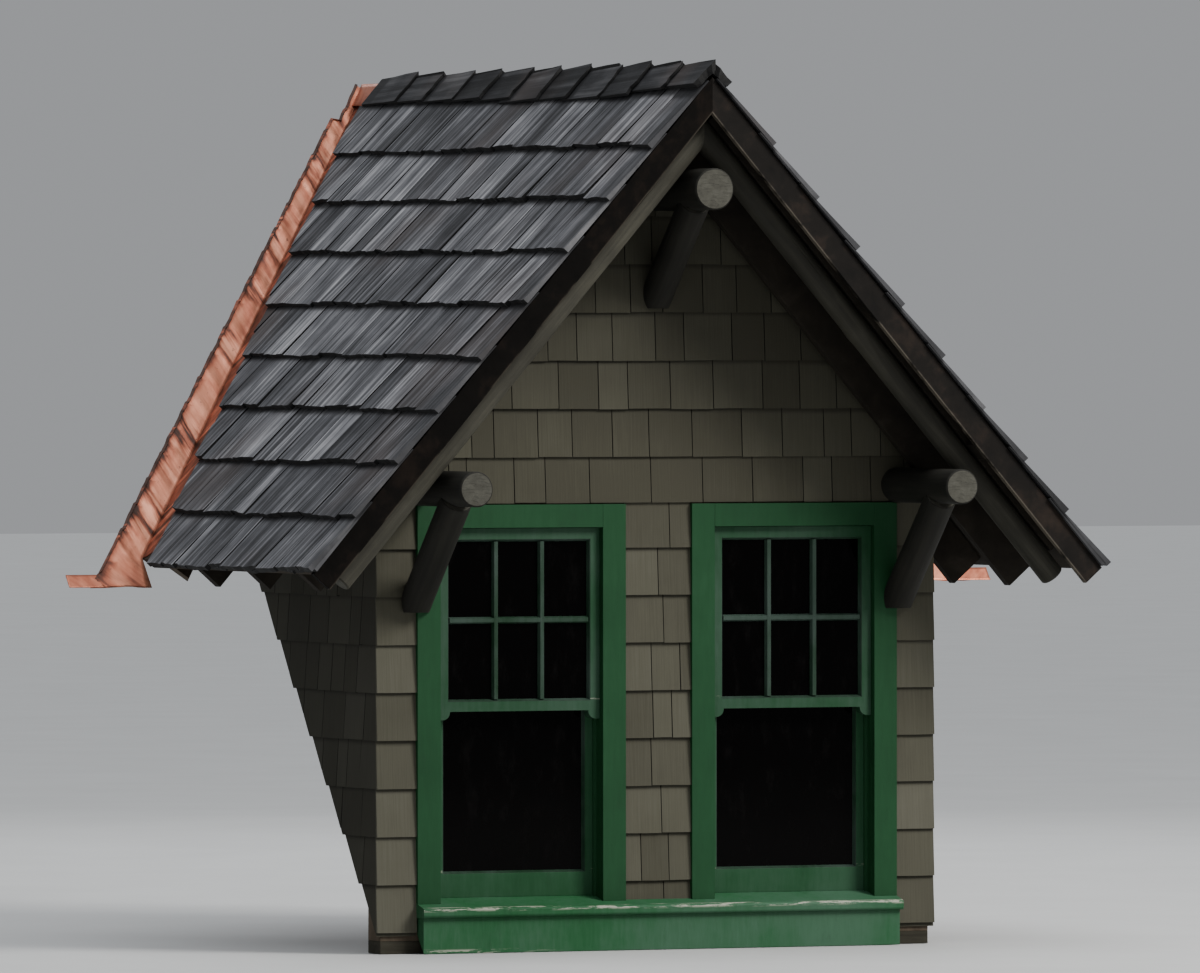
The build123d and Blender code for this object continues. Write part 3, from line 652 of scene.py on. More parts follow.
# One green paint in copies; each shade is partly painted light and shade, set by how brightly its part is lit:
# sill and apron lightest, bars darkest.
trim_paint = paint_material("green_trim_paint", 0.96)
sill_paint = paint_material("green_sill_paint", 1.75, 0.16, sill_wear)
apron_paint = paint_material("green_apron_paint", 1.75, 0.16, apron_wear)
sash_paint = paint_material("green_sash_paint", 1.16, 0.08, sash_wear)
upper_sash_paint = paint_material("green_upper_sash_paint", 0.98, 0.13, sash_wear)
bar_paint = paint_material("green_bar_paint", 0.54, 0.20)
log_wood = log_material("stained_log", 1.0)
# Both verge logs take a lighter stain; the left one is painted lighter as lit, the right one darker as shaded.
verge_woods = {"left": log_material("lit_verge_log", 3.1), "right": log_material("shaded_verge_log", 2.0)}
log_end = end_grain_material()
copper = copper_material()
pane = glass_material()
# The left barge takes the right one's stain at under half its brightness and sheen, as painted shade.
barge_woods = {"left": barge_material("damp_barge", 0.45), "right": barge_material("dark_barge", 1.0)}
framing = wood_material("dusty_framing", (30, 30, 4), (0.045, 0.034, 0.024), (0.090, 0.070, 0.050),
                        (0.150, 0.120, 0.088))
sole_wood = wood_material("stained_sole", (4, 50, 50), (0.022, 0.020, 0.015), (0.040, 0.037, 0.027),
                          (0.062, 0.058, 0.044))
plank_wood = wood_material("soffit_plank", (50, 3, 50), (0.010, 0.008, 0.006), (0.025, 0.020, 0.015),
                           (0.050, 0.041, 0.031), boards=True)
rafter_wood = wood_material("rafter_wood", (9, 60, 9), (0.008, 0.0065, 0.005), (0.020, 0.0165, 0.0125),
                            (0.042, 0.035, 0.027))


def dress(names, material, bevel=0.0015):
    """Give CAD nodes their material and slightly rounded edges. Their names are parted by spaces."""
    for name in names.split():
        node = nodes[name]
        node.data.materials.clear()
        node.data.materials.append(material)
        weld = node.modifiers.new("weld", "WELD")
        weld.merge_threshold = 0.00002
        if bevel:
            mod = node.modifiers.new("bevel", "BEVEL")
            mod.width = bevel
            mod.segments = 2
            mod.limit_method = "ANGLE"
            mod.angle_limit = math.radians(40)
            mod.use_clamp_overlap = True


dress("front_sole_plate", sole_wood, 0.002)
dress("front_wall eave_blocking", framing, 0.002)
dress("head_casings side_casings", trim_paint)
dress("window_sill", sill_paint)
dress("sill_apron", apron_paint)
dress("verge_packing", rafter_wood, 0.002)
for _, word in SIDES:
    dress(f"{word}_valley_sleeper {word}_sole_plate {word}_cheek_wall", framing, 0.002)
    dress(f"{word}_window_frame", trim_paint)
    dress(f"{word}_upper_sash", upper_sash_paint, 0.0012)
    dress(f"{word}_lower_sash", sash_paint, 0.0012)
    dress(f"{word}_window_glass", pane, 0)
    dress(f"{word}_rafters", rafter_wood, 0.002)
    dress(f"{word}_barge_board", barge_woods[word], 0.002)


# Roof shingles in courses, each one its own slab
SHAKE_TIP = 0.013
SHAKE_LAP = 0.075
STARTER_BUTT, STARTER_TIP, STARTER_BACK = 0.0135, 0.006, 0.008
EAVE_BUTT = (EAVE + 0.026) / ROOF_COS
OPEN_TOP, OPEN_FOOT = 0.055, 0.115


def roof_shingles(side, word, seed, butt_rise):
    rng = random.Random(seed)
    g = Gather()
    normal = slope_normal(side)
    for course in range(-1, 9):
        starter = course < 0
        butt_run = EAVE_BUTT - max(course, 0) * ROOF_EXPOSURE - (STARTER_BACK if starter else 0)
        top_z = RIDGE - butt_run * ROOF_SIN
        y, y_end = VERGE_EDGE, main_y(top_z + ROOF_EXPOSURE) + PAST_CUT
        length = min(ROOF_EXPOSURE + SHAKE_LAP, butt_run - 0.012)
        while y < y_end:
            width = rng.choice((rng.uniform(0.10, 0.15), rng.uniform(0.13, 0.21), rng.uniform(0.16, 0.235)))
            if y + width > y_end:
                width = max(y_end - y, NARROWEST)
            lift = rng.choice((0, 0, 0, rng.uniform(0, 0.006)))
            if starter:
                top, bottom = (STARTER_BUTT, STARTER_TIP), (0.0, 0.0)
            else:
                top = (butt_rise + rng.uniform(-0.004, 0.003) + lift, SHAKE_TIP - 0.005)
                bottom = ((SHAKE_TIP if course else STARTER_BUTT + CLEAR) + lift * 0.6, 0.004)
            origin = slope_point(side, butt_run + rng.uniform(-0.009, 0.007), y + 0.0015, 0)
            slab(g, origin, -downhill(side), Y_AXIS, normal, length, width - rng.uniform(0.004, 0.009),
                 top, bottom, rng, rng.betavariate(1.3, 1.5), nx=5, ny=4, wobble=0.0022, ragged=0.0028,
                 skew=rng.uniform(-0.010, 0.010), edge=1, bare_side=y == VERGE_EDGE)
            y += width
    _, inward, _ = valley(side)
    head = VALLEY_TOP + inward * OPEN_TOP
    foot = Vector((side * EAVE, main_y(roof_z(EAVE)), roof_z(EAVE))) + inward * OPEN_FOOT
    cut = (foot - head).normalized().cross(normal) * side
    build(g, f"{word}_shakes", [shake, shake_edge], [(head, -cut), middle_clip(side)],
          replaces=[f"{word}_roof_shingles"])


roof_shingles(-1, "left", 11, 0.034)
roof_shingles(1, "right", 29, 0.030)


# Ridge cap: pairs of shingles with their butts to the front, mitred at the ridge, one lapping the other
CAP_BASE, CAP_CLEAR = 0.0125, 0.0025
CAP_LAP, CAP_SHORT = 0.10, 0.165
CAP_WIDTHS = (0.060, 0.082, 0.100, 0.108, 0.108, 0.105, 0.102, 0.099, 0.096, 0.093, 0.090)


def ridge_cap():
    rng = random.Random(5)
    g = Gather()
    end = main_y(RIDGE) - CAP_SHORT
    for i, wide in enumerate(CAP_WIDTHS):
        y = VERGE_EDGE + i * CAP_EXPOSURE
        tone = rng.uniform(0.0, 0.75)
        for side in (-1, 1):
            lap = 0.006 if (side > 0) == bool(i % 2) else 0.0
            width = wide + rng.uniform(-0.006, 0.006)
            lift = rng.uniform(0, 0.005)
            start = y + rng.uniform(-0.008, 0.012)
            slab(g, slope_point(side, width, start, CAP_BASE), Y_AXIS, -downhill(side), slope_normal(side),
                 min(CAP_EXPOSURE + CAP_LAP, end - start), width + CAP_BASE * ROOF_TAN + lap,
                 (0.023 + lift, 0.010), (0.012 + lift if i else 0.0, 0.0), rng,
                 min(1, max(0, tone + rng.uniform(-0.15, 0.15))), nx=5, ny=3, wobble=0.0022, ragged=0.008,
                 skew=side * rng.uniform(0.004, 0.022), edge=1, mitre=ROOF_TAN)
    build(g, "ridge_cap_shakes", [cap_shake, shake_edge],
          [(MAIN_POINT + MAIN_NORMAL * CAP_CLEAR, -MAIN_NORMAL)], replaces=["ridge_cap"])


ridge_cap()


# Wall shingles, in courses beside the windows, one over their heads, and the gable's
FIRST_BUTT, WALL_EXPOSURE, SIDE_COURSES = 0.075, 0.169, 9
HEAD_BUTT = 1.587
GABLE_BUTT, GABLE_EXPOSURE, GABLE_TOP = 1.748, 0.171, 2.97
SILL_LEVEL = 0.19
COLUMN_HALF = WINDOW_X - CASING_OUTER
WALL_LAP = 0.03


def course_list(top):
    heights = [FIRST_BUTT + WALL_EXPOSURE * k for k in range(-1, SIDE_COURSES)] + [HEAD_BUTT]
    below = len(heights)
    while heights[-1] < top:
        heights.append(GABLE_BUTT + GABLE_EXPOSURE * (len(heights) - below))
    return heights


# Joints between the front's shingles by course, from FIRST_BUTT up
FRONT_JOINTS = (
    (0.026,), (-0.063,), (0.016,), (-0.023,), (0.057,), (-0.022, 0.089), (0.024,), (0.003,), (0.048,),
    (-0.736, -0.553, -0.433, -0.262, -0.024, 0.177, 0.372, 0.570, 0.683, 0.835),
    (-0.632, -0.462, -0.330, -0.174, -0.032, 0.136, 0.330, 0.488, 0.651),
    (-0.563, -0.382, -0.228, -0.114, 0.051, 0.218, 0.411, 0.556),
    (-0.312, -0.174, -0.007, 0.104, 0.291),
    (-0.240, -0.104, 0.020, 0.177),
)


def fill(rng, a, b, widths):
    """Random joints between two places along a course, the last one left out."""
    places, x = [], a
    while x < b - 0.001:
        places.append(x)
        width = rng.uniform(*widths)
        if b - x - width < NARROWEST:
            width = b - x if b - x < widths[1] * 1.15 else (b - x) / 2
        x += width
    return places


def front_painted_shade(x, z):
    """How much darker a shingle is, as painted shade: in the gable, and a little between the windows."""
    if z > CASING_TOP:
        return 0.6
    return 0.25 if -COLUMN_HALF <= x < COLUMN_HALF else 0.0


def wall_course(g, rng, z, z_next, spans, place, out, along, widths, fixed=(), darken_by=None):
    """One course of wall shingles between spans measured along the wall."""
    exposed = z_next - z
    length = exposed + WALL_LAP
    tip = CLAD_BUTT - (CLAD_BUTT - CLAD_TIP) / exposed * length
    for a, b in spans:
        held = [x for x in fixed if a + 0.02 < x < b - 0.02]
        if held:
            joints = fill(rng, a, held[0], widths) + held[:-1] + fill(rng, held[-1], b, widths)
        else:
            joints = fill(rng, a, b, widths)
        for x, x_next in zip(joints, joints[1:] + [b]):
            gap = 0.0034 if x_next < b - 0.002 else 0.0
            origin = place(x, z + rng.uniform(-0.0016, 0.0016))
            butt = CLAD_BUTT + rng.uniform(-0.0012, 0.0004)
            # A lowered tone here is painted shade.
            tone = rng.random() - (darken_by(x, z) if darken_by else 0.0)
            slab(g, origin, Z_AXIS, along, out, length, x_next - x - gap, (butt, tip),
                 (CLAD_TIP * 0.9, 0.0), rng, tone, nx=2, ny=2, wobble=0.0003, ragged=0.0006,
                 edge=1, bare_side=x == a)


def front_shingles():
    rng = random.Random(3)
    g = Gather()
    heights = course_list(GABLE_TOP)
    corner = HALF_WALL + CLAD_BUTT
    outer = WINDOW_X + CASING_OUTER
    for k, (z, z_next) in enumerate(zip(heights, heights[1:])):
        if z_next < SILL_LEVEL:
            spans = [(-corner, -SILL_HALF), (SILL_HALF, corner)]
        elif z < CASING_TOP - 0.02:
            spans = [(-corner, -outer), (-COLUMN_HALF, COLUMN_HALF), (outer, corner)]
        else:
            half = min(corner, (roof_z(0, DECK) - z) / ROOF_TAN + PAST_CUT)
            spans = [(-half, half)]
        fixed = FRONT_JOINTS[k - 1] if 0 < k <= len(FRONT_JOINTS) else ()
        wall_course(g, rng, z, z_next, spans, lambda x, h: Vector((x, WALL_FRONT, h)), -Y_AXIS, X_AXIS,
                    (0.105, 0.165), fixed, front_painted_shade)
    clips = [MAIN_CLIP]
    for side, _ in SIDES:
        clips.append((slope_point(side, 0, 0, -DECK - CLEAR), slope_normal(side)))
    build(g, "front_wall_shingles", [siding, siding_edge], clips, replaces=["front_cladding"])


def cheek_shingles(side, word, seed):
    rng = random.Random(seed)
    g = Gather()
    heights = course_list(roof_z(HALF_WALL))
    for z, z_next in zip(heights, heights[1:]):
        y_end = main_y(z_next + 0.05) + PAST_CUT
        wall_course(g, rng, z, z_next, [(WALL_FRONT, y_end)], lambda y, h: Vector((side * HALF_WALL, y, h)),
                    X_AXIS * side, Y_AXIS, (0.09, 0.20))
    under = (slope_point(side, 0, 0, -RAFTER_UNDER - CLEAR), slope_normal(side))
    build(g, f"{word}_cheek_shingles", [shaded_cheek_siding, siding_edge],
          [MAIN_CLIP, under, sleeper_clip(side)], replaces=[f"{word}_cheek_cladding"])


front_shingles()
cheek_shingles(-1, "left", 7)
cheek_shingles(1, "right", 17)


# Roof deck as planks, seen from below and at the eaves
PLANKS = 16
PLANK_START, PLANK_LENGTH = VERGE + 0.025, 3.1
PLANK_GAP = 0.003
OVER_RIDGE = 0.03


def deck_planks(side, word):
    rng = random.Random(41 + side)
    g = Gather()
    width = (EAVE / ROOF_COS + OVER_RIDGE) / PLANKS
    for i in range(PLANKS):
        origin = slope_point(side, i * width - OVER_RIDGE + PLANK_GAP / 2, PLANK_START, 0)
        gap = PLANK_GAP / 2 if i == PLANKS - 1 else PLANK_GAP
        slab(g, origin, Y_AXIS, downhill(side), slope_normal(side), PLANK_LENGTH, width - gap,
             (0.0, 0.0), (-DECK, -DECK), rng, rng.random(), nx=1, ny=6)
    build(g, f"{word}_planks", [plank_wood], [MAIN_CLIP, middle_clip(side, RIDGE_GAP)],
          replaces=[f"{word}_roof_deck"])


for side, word in SIDES:
    deck_planks(side, word)


# Round logs with a natural surface
def log_piece(name, start, end, radius, seed, clips, wood=None, lumps=0.0018, chamfer=0.005, around=40,
              spacing=0.05):
    """A log in place of the node with its name: lumps and knots inside the radius, and sawn ends."""
    rng = random.Random(seed)
    axis = (end - start).normalized()
    length = (end - start).length
    side = axis.cross(Z_AXIS if abs(axis.z) < 0.9 else X_AXIS).normalized()
    up = side.cross(axis).normalized()
    offset = scatter(rng, 90)
    knots = [(rng.uniform(0.05, 0.95) * length, rng.uniform(0, 2 * math.pi), rng.uniform(0.015, 0.028),
              rng.uniform(0.6, 1.4) * lumps) for _ in range(int(length * 3))]
    g = Gather()
    rings = max(3, int(length / spacing))
    stations = [0.0, chamfer] + [chamfer + (length - chamfer) * (k + 1) / rings for k in range(rings)]
    ids = []
    for k, d in enumerate(stations):
        ring = []
        for i in range(around):
            a = 2 * math.pi * i / around
            r = radius - (chamfer if k == 0 else 0)
            v = offset + Vector((math.cos(a) * 1.1, math.sin(a) * 1.1, d * 1.6))
            r -= lumps * (0.5 + 0.5 * noise.noise(v)) + lumps * 0.4 * (0.5 + 0.5 * noise.noise(v * 4.1))
            for knot_d, knot_a, knot_size, knot_rise in knots:
                gap = math.atan2(math.sin(a - knot_a), math.cos(a - knot_a)) * radius
                dist = (d - knot_d) ** 2 + gap ** 2
                if dist < 9 * knot_size * knot_size:
                    r += knot_rise * math.exp(-dist / (knot_size * knot_size))
            r = min(r, radius)
            p = start + axis * d + (side * math.cos(a) + up * math.sin(a)) * r
            ring.append(g.vert(p, (a * radius, d)))
        ids.append(ring)
    for k in range(len(stations) - 1):
        for i in range(around):
            j = (i + 1) % around
            g.face((ids[k][i], ids[k][j], ids[k + 1][j], ids[k + 1][i]))
    for rim, centre in ((ids[0], start), (ids[-1], end)):
        outer, inner = [], []
        for index in rim:
            co = g.verts[index] - centre
            outer.append(g.vert(g.verts[index].copy(), (co.dot(side), co.dot(up))))
        for index in rim:
            co = (g.verts[index] - centre) * 0.5
            inner.append(g.vert(centre + co, (co.dot(side), co.dot(up))))
        middle = g.vert(centre.copy(), (0.0, 0.0))
        for i in range(around):
            j = (i + 1) % around
            g.face((outer[i], outer[j], inner[j], inner[i]), 1)
            g.face((inner[i], inner[j], middle), 1)
    piece = build(g, f"{name}_round", [wood or log_wood, log_end], smooth=True, replaces=[name])
    close_log(piece.data, clips)


def close_log(mesh, clips):
    """Join the ends to the round, make the cuts, and keep the edges of both sharp."""
    bm = bmesh.new()
    bm.from_mesh(mesh)
    bmesh.ops.remove_doubles(bm, verts=bm.verts, dist=MERGE)
    for point, normal in clips:
        clip(bm, point, normal)
    bmesh.ops.recalc_face_normals(bm, faces=bm.faces)
    sharpen(bm)
    bm.to_mesh(mesh)
    bm.free()


RIDGE_LOG_R, EAVE_LOG_R, VERGE_LOG_R, BRACE_R = 0.075, 0.0635, 0.046, 0.0575
RIDGE_LOG_Z = roof_z(0, RAFTER_UNDER + RIDGE_LOG_R + SEAT)
RIDGE_LOG_ENDS, EAVE_LOG_ENDS = (-0.564, 2.45), (-0.620, 1.6)
EAVE_LOG_X = 0.936
EAVE_LOG_Z = roof_z(EAVE_LOG_X, RAFTER_UNDER + EAVE_LOG_R + SEAT)
VERGE_LOG_Y = VERGE + 0.113
BRACE_SLOPE = math.radians(45)
BRACE_TOE = 0.042

front, back = (Vector((0, y, RIDGE_LOG_Z)) for y in RIDGE_LOG_ENDS)
log_piece("ridge_log", front, back, RIDGE_LOG_R, 1, [MAIN_CLIP, sleeper_clip(-1), sleeper_clip(1)])
for side, word in SIDES:
    front, back = (Vector((side * EAVE_LOG_X, y, EAVE_LOG_Z)) for y in EAVE_LOG_ENDS)
    log_piece(f"{word}_eave_log", front, back, EAVE_LOG_R, 2 + side, [MAIN_CLIP, sleeper_clip(side)])


def brace(name, x, log_z, log_r, drop, seat_y, seed):
    """A brace from a seat on the wall, a drop below the log's axis, up into the log. Its toe is cut level."""
    rise = math.sin(BRACE_SLOPE)
    slant = Vector((0, -math.cos(BRACE_SLOPE), rise))
    foot = Vector((x, seat_y, log_z - drop))
    toe = foot.z - BRACE_R / rise + BRACE_TOE
    reach = (drop - log_r * 0.6) / rise
    log_piece(name, foot + slant * reach, foot - slant * 0.12, BRACE_R, seed,
              [(Vector((0, seat_y, 0)), Y_AXIS), (Vector((0, 0, toe)), -Z_AXIS)], chamfer=0.003, spacing=0.03)


brace("ridge_brace", 0, RIDGE_LOG_Z, RIDGE_LOG_R, 0.380, WALL_FRONT, 21)
brace("left_eave_brace", -EAVE_LOG_X, EAVE_LOG_Z, EAVE_LOG_R, 0.400, CASING_FRONT - SEAT, 22)
brace("right_eave_brace", EAVE_LOG_X, EAVE_LOG_Z, EAVE_LOG_R, 0.400, CASING_FRONT - SEAT, 23)

for side, word in SIDES:
    depth = DECK + PACKING + VERGE_LOG_R
    log_piece(f"{word}_verge_log", slope_point(side, TAIL_RUN, VERGE_LOG_Y, -depth),
              slope_point(side, -0.05, VERGE_LOG_Y, -depth), VERGE_LOG_R, 31 + side,
              [middle_clip(side, RIDGE_GAP)], verge_woods[word], lumps=0.0035, around=28, spacing=0.035)


# Bars and putty of the windows
UPPER_PANE, UPPER_FRONT = -0.0370, -0.0547
LOWER_PANE, LOWER_FRONT = 0.0106, -0.0071
SIGHT_HALF = 0.2665
UPPER_SIGHT, LOWER_SIGHT = (0.894, 1.451), (0.285, 0.851)
CROSS_BAR = 1.173
BAR_WIDTH, BAR_BACK, BAR_SINK = 0.024, UPPER_PANE - 0.0002, 0.0005
PUTTY = 0.0076


def bar(g, a, b, front, across):
    """A glazing bar from a to b: broad at the pane, narrower at its front."""
    half, nose = BAR_WIDTH / 2, BAR_WIDTH / 2 - 0.005
    back, shoulder = BAR_BACK, BAR_BACK - 0.004
    outline = [(-half, back), (-half, shoulder), (-nose, front), (nose, front), (half, shoulder), (half, back)]
    outline_prism(g, [a + across * s + Vector((0, y, 0)) for s, y in outline], b - a)


def putty(g, x, sight, pane_y, front):
    """Sloped putty round one sash's glass, in the rebate."""
    bottom, top = sight
    corners = [(-1, bottom, -1), (1, bottom, -1), (1, top, 1), (-1, top, 1)]
    back, nose = pane_y - SEAT, front + 0.0015
    rings = []
    for grow, y in ((0.0, back), (PUTTY, back), (PUTTY, nose), (0.006, nose)):
        ring = []
        for dx, z, dz in corners:
            edge = x + dx * SIGHT_HALF
            ring.append(g.vert(Vector((edge + dx * grow, y, z + dz * grow)), (edge, z)))
        rings.append(ring)
    for k in range(4):
        for i in range(4):
            j = (i + 1) % 4
            a, b = rings[k], rings[(k + 1) % 4]
            g.face((a[i], a[j], b[j], b[i]))


for side, word in SIDES:
    x = side * WINDOW_X
    g = Gather()
    foot, head, half = UPPER_SIGHT[0] - BAR_SINK, UPPER_SIGHT[1] + BAR_SINK, SIGHT_HALF + BAR_SINK
    for shift in (-SIGHT_HALF / 3, SIGHT_HALF / 3):
        bar(g, Vector((x + shift, 0, foot)), Vector((x + shift, 0, head)), UPPER_FRONT + 0.001, X_AXIS)
    bar(g, Vector((x - half, 0, CROSS_BAR)), Vector((x + half, 0, CROSS_BAR)), UPPER_FRONT + 0.0013, Z_AXIS)
    putty(g, x, UPPER_SIGHT, UPPER_PANE, UPPER_FRONT)
    putty(g, x, LOWER_SIGHT, LOWER_PANE, LOWER_FRONT)
    build(g, f"{word}_window_bars", [bar_paint])


# Copper valley: crimped, with a folded outer edge, a flange at its foot and a saddle over the ridge
COPPER_TOP, COPPER_FOOT = 0.062, 0.118
COPPER_LAP, LAPPED_WIDTH, LAP_RISE = 0.215, 0.036, 0.002
DECK_LEG = 0.170
TOOTH = 0.147
SHEET_RISE, SHEET_LEAST, SHEET_THICK = 0.0012, 0.0006, 0.0008
SHEET_STEPS, SHEET_WIDE, PATCH_STEPS, LEG_WIDE = 300, 9, 16, 5
FLANGE_END = 1.8185
FLANGE_TOP, FLANGE_FOOT, FLANGE_LAP = -0.075, -0.135, 0.012
FLANGE_STEPS, FLANGE_WIDE = 6, 18
SADDLE_FRONT, SADDLE_LENGTH, SADDLE_WIDTH = -0.21, 0.24, 0.092
SADDLE_STEPS, SADDLE_WIDE = 12, 6
VALLEY_STOPS = [VALLEY_RUN * k / SHEET_STEPS for k in range(SHEET_STEPS + 1)]
UP_SLOPE = Vector((0, MAIN_COS, MAIN_SIN))


def crimp(d, w, side):
    """Rise of the sheet above the roof: slanting folds with dents between them."""
    phase = (d + 0.8 * w) * 43 + 1.6 * noise.noise(Vector((d * 4, w * 6, side * 3.0)))
    fold = (0.5 + 0.5 * math.sin(phase)) ** 3 * (0.7 + 0.5 * noise.noise(Vector((d * 3.1, 5.5, side))))
    dent = noise.noise(Vector((d * 19, w * 26, side * 2.0)))
    return 0.0075 * fold + 0.0025 * dent


def sheet_rise(d, w, side, share):
    """Rise at a distance down the valley, at a share of the sheet's width from the crease."""
    return max(SHEET_LEAST, SHEET_RISE + crimp(d, w, side) * min(1, share * 3))


def roof_spot(crease, side, x, up, lift):
    """A point on the main roof, x out and up its slope from the valley's foot."""
    return crease + Vector((side * x, 0, 0)) + UP_SLOPE * up + MAIN_NORMAL * lift


def hem(row, outward):
    """The outer edge folded back over the sheet."""
    edge = row[-1]
    for rise, out in ((0.0055, 0.001), (0.0060, -0.009), (0.0030, -0.010)):
        row.append(edge + MAIN_NORMAL * rise + outward * out)


def painted_hem_light(k, n):
    """Painted highlight in the bend; dark along the hem in teeth, partly patina and partly painted shadow of
    the main roof's shingle corners.
    """
    tooth = (k * VALLEY_RUN / SHEET_STEPS / TOOTH) % 1.0
    if n == 0:
        return 1.0
    if n >= SHEET_WIDE:
        return -0.1
    return (0.55, 0.25 + 0.35 * tooth, -0.05 + 0.4 * tooth)[max(0, n - SHEET_WIDE + 3)]


def sheet_rows(g, rows, run, tone=lambda k, n: 0.5):
    """Faces over rows of points, each row with the same count. tone gives each point's tone."""
    ids = []
    for k, row in enumerate(rows):
        s, line = 0.0, []
        for n, p in enumerate(row):
            if n:
                s += (p - row[n - 1]).length
            line.append(g.vert(p, (s, run * k + s * 0.9), tone(k, n)))
        ids.append(line)
    for above, below in zip(ids, ids[1:]):
        for n in range(len(above) - 1):
            g.face((above[n], above[n + 1], below[n + 1], below[n]))


def main_leg(side):
    """Rows of the sheet on the main roof, from the ridge down."""
    down, _, outward = valley(side)
    rows = []
    for d in VALLEY_STOPS:
        crease = VALLEY_TOP + down * d
        lapped = d < COPPER_LAP
        width = LAPPED_WIDTH if lapped else COPPER_TOP + (COPPER_FOOT - COPPER_TOP) * d / VALLEY_RUN
        width += 0.004 * (1 - (d / TOOTH) % 1.0) + 0.003 * noise.noise(Vector((d * 20, 9.0, side))) - 0.002
        row = []
        for i in range(SHEET_WIDE + 1):
            t = i / SHEET_WIDE
            lift = sheet_rise(d, t * width, side, t) + 0.002 * math.exp(-t * 8)
            row.append(crease + outward * (t * width) + MAIN_NORMAL * (lift + (LAP_RISE if lapped else 0)))
        hem(row, outward)
        rows.append(row)
    return rows


def deck_leg(side):
    """Rows of the sheet under the shingles."""
    down, inward, _ = valley(side)
    rows = []
    for d in VALLEY_STOPS:
        crease = VALLEY_TOP + down * d
        row = []
        for i in range(LEG_WIDE + 1):
            dent = max(0, noise.noise(Vector((d * 25, i * 0.7, 4))))
            lift = SHEET_RISE + 0.0012 * dent + 0.002 * math.exp(-i)
            row.append(crease + inward * (DECK_LEG * i / LEG_WIDE) + slope_normal(side) * lift)
        rows.append(row)
    return rows


def foot_patch(side):
    """Rows below the valley's end, and the flange that runs out from them."""
    down, _, outward = valley(side)
    crease = VALLEY_TOP + down * VALLEY_RUN
    foot_x, foot_up = outward.x * side * COPPER_FOOT, outward.dot(UP_SLOPE) * COPPER_FOOT
    edge_run = down * VALLEY_RUN + outward * (COPPER_FOOT - COPPER_TOP)
    lean = abs(edge_run.x / edge_run.dot(UP_SLOPE))
    rows = []
    for k in range(1, PATCH_STEPS + 1):
        t = k / PATCH_STEPS
        up_in, up_out = FLANGE_FOOT * t, foot_up + (FLANGE_FOOT - foot_up) * t
        x_out = foot_x + (foot_up - up_out) * lean
        row = []
        for i in range(SHEET_WIDE + 1):
            u = i / SHEET_WIDE
            x, up = x_out * u, up_in + (up_out - up_in) * u
            row.append(roof_spot(crease, side, x, up, sheet_rise(VALLEY_RUN + abs(up), x, side, u)))
        if up_out > FLANGE_TOP + 0.004:
            hem(row, Vector((side, 0, 0)))
        else:
            row += [row[-1] + Vector((side * 0.001 * n, 0, 0)) for n in (1, 2, 3)]
        rows.append(row)
    start = foot_x + (foot_up - FLANGE_TOP) * lean - FLANGE_LAP
    flange = []
    for j in range(FLANGE_STEPS + 1):
        up = FLANGE_TOP + (FLANGE_FOOT - FLANGE_TOP) * j / FLANGE_STEPS
        fold = 0.0016 if j in (0, FLANGE_STEPS) else 0
        line = []
        for i in range(FLANGE_WIDE + 1):
            x = start + (FLANGE_END - EAVE - start) * i / FLANGE_WIDE
            lift = 0.0030 + 0.0016 * abs(noise.noise(Vector((x * 30, up * 40, 5)))) + fold
            line.append(roof_spot(crease, side, x, up, lift))
        flange.append(line)
    return rows, flange


def saddle(side):
    """Rows of the fold over the ridge's end."""
    rows = []
    for k in range(SADDLE_STEPS + 1):
        y = main_y(RIDGE) + SADDLE_FRONT + SADDLE_LENGTH * k / SADDLE_STEPS
        row = []
        for i in range(SADDLE_WIDE + 1):
            rise = 0.0150 + 0.0016 * noise.noise(Vector((y * 20, i * 0.6, side))) * min(1, i)
            share = i / SADDLE_WIDE
            row.append(slope_point(side, SADDLE_WIDTH * share - rise * ROOF_TAN * (1 - share), y, rise))
        rows.append(row)
    return rows


def valley_copper(side, word):
    g = Gather()
    step = VALLEY_RUN / SHEET_STEPS
    foot, flange = foot_patch(side)
    sheet_rows(g, main_leg(side) + foot, step, painted_hem_light)
    # The leg under the shingles takes a low tone, painted shade.
    sheet_rows(g, deck_leg(side), step, lambda k, n: 0.12)
    sheet_rows(g, flange, 0.01)
    sheet_rows(g, saddle(side), 0.02)
    piece = build(g, f"{word}_valley_copper", [copper], [middle_clip(side), MAIN_CLIP], smooth=True,
                  replaces=[f"{word}_valley_flashing"], close=False)
    thick = piece.modifiers.new("thickness", "SOLIDIFY")
    thick.thickness = SHEET_THICK
    thick.offset = -1


for side, word in SIDES:
    valley_copper(side, word)


# Stage: floor, light and camera
FLOOR_HALF = 90


def floor():
    mesh = bpy.data.meshes.new("floor")
    corners = [(x * FLOOR_HALF, y * FLOOR_HALF, 0) for x, y in ((-1, -1), (1, -1), (1, 1), (-1, 1))]
    mesh.from_pydata(corners, [], [(0, 1, 2, 3)])
    obj = add_object("floor", mesh)
    t = Tree("studio_floor", 0.9)
    grain = t.noise(t.space(1.5), 4, 0.6)
    t.colour(t.ramp(grain, [(0.3, (0.45, 0.45, 0.445)), (0.7, (0.48, 0.48, 0.475))]))
    mesh.materials.append(t.mat)
    obj.location.z = min(low.z, 0) - 0.001


def lamp(name, kind, power, colour, turn, place=(0, 0, 0)):
    """A light of the stage. Its data is handed back, for its size to be set."""
    data = bpy.data.lights.new(name, kind)
    data.energy = power
    data.color = colour
    obj = add_object(name, data)
    obj.location = place
    obj.rotation_mode = "QUATERNION"
    obj.rotation_quaternion = turn
    return data


def area_light(name, place, target, size, power, colour):
    turn = (Vector(target) - Vector(place)).to_track_quat("-Z", "Y")
    lamp(name, "AREA", power, colour, turn, place).size = size


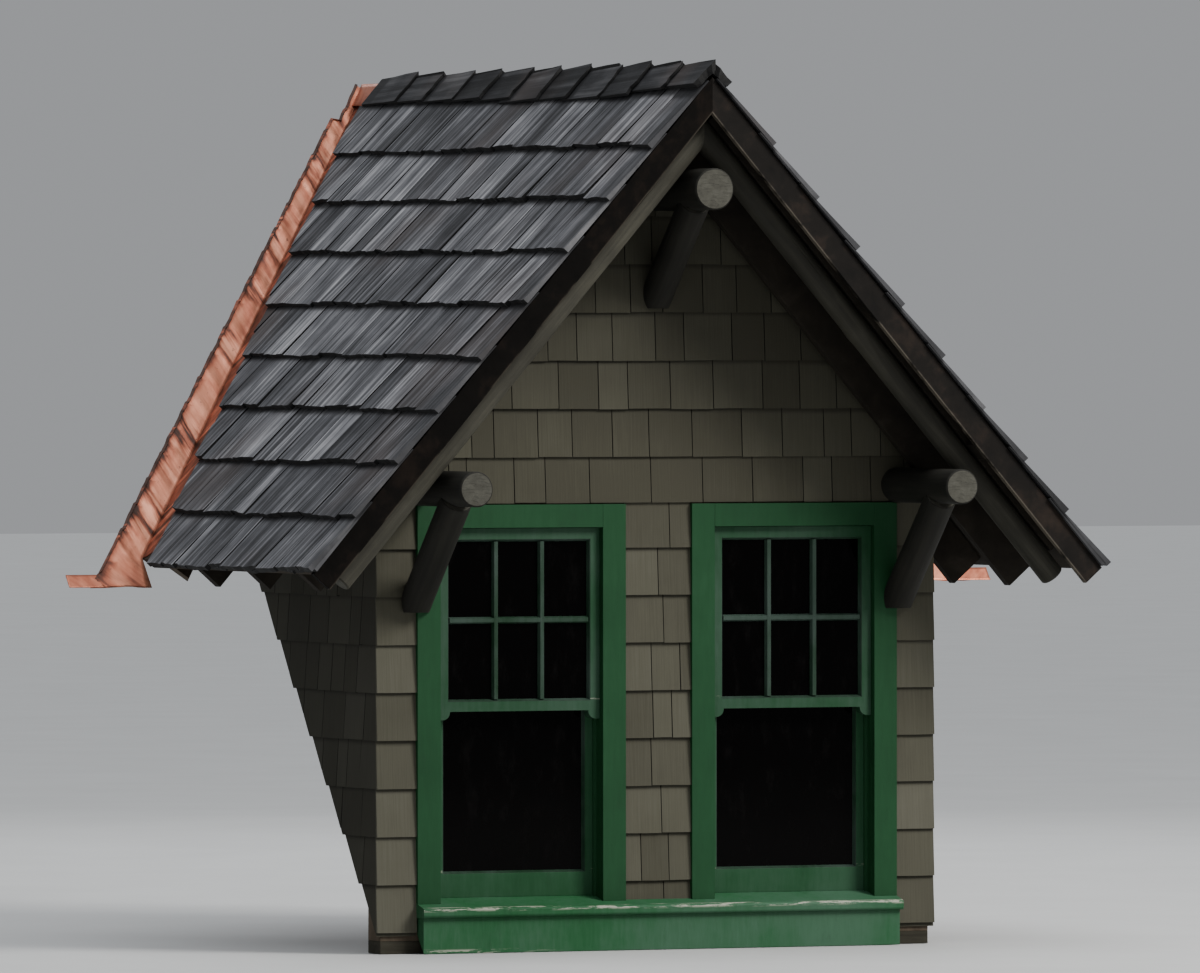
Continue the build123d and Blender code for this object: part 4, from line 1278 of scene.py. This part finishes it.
def top_light(name, towards, strength, spread, colour):
    """Broad light from above, the same over the whole floor."""
    turn = Vector(towards).to_track_quat("Z", "Y")
    lamp(name, "SUN", strength, colour, turn).angle = math.radians(spread)


floor()
area_light("key", (8.0, -9.4, 10.8), (0, 0, 1.4), 5.5, 3000, (1.0, 0.985, 0.95))
area_light("back", (4, 10, 7), (0, 0.5, 1.6), 6.0, 300, (0.95, 0.97, 1.0))
top_light("top", (-1.0, -1.2, 12.0), 1.9, 50, (0.92, 0.96, 1.0))

world = bpy.data.worlds.new("studio")
bpy.context.scene.world = world
world.use_nodes = True
background = world.node_tree.nodes["Background"]
background.inputs["Color"].default_value = (0.78, 0.80, 0.83, 1)
background.inputs["Strength"].default_value = 0.43


# The photograph's camera, in pixels of the photograph
PHOTO_WIDTH, FOCAL = 1200, 7040.0
CENTRE_X, CENTRE_Y, HORIZON_Y = 600.0, 486.5, 408.0
AZIMUTH = math.radians(25.9)
METRES_PER_PIXEL = 0.0071
SEEN_POINT, SEEN_PIXEL = Vector((0, -0.073, 0.814)), (364.2, 610.0)
DORMER_PIXEL, ZOOM = (335.0, 493.25), 2
SENSOR = 36


def photo_camera():
    """Camera of the photograph, turned to the dormer and zoomed to twice its scale."""
    pitch = math.atan((CENTRE_Y - HORIZON_Y) / FOCAL)
    right = Vector((math.cos(AZIMUTH), -math.sin(AZIMUTH), 0))
    forward = Vector((math.sin(AZIMUTH), math.cos(AZIMUTH), 0)) * math.cos(pitch) - Z_AXIS * math.sin(pitch)
    up = right.cross(forward)

    def ray(x, y):
        return right * (x - CENTRE_X) / FOCAL - up * (y - CENTRE_Y) / FOCAL + forward

    place = SEEN_POINT - ray(*SEEN_PIXEL) * (FOCAL * METRES_PER_PIXEL)
    data = bpy.data.cameras.new("camera")
    data.sensor_width = SENSOR
    data.lens = SENSOR * FOCAL * ZOOM / PHOTO_WIDTH
    data.clip_start, data.clip_end = 1, 400
    obj = add_object("camera", data)
    look = ray(*DORMER_PIXEL).normalized()
    side = look.cross(up).normalized()
    turn = Matrix((side, side.cross(look), -look)).transposed().to_4x4()
    obj.matrix_world = Matrix.Translation(place) @ turn
    bpy.context.scene.camera = obj


photo_camera()
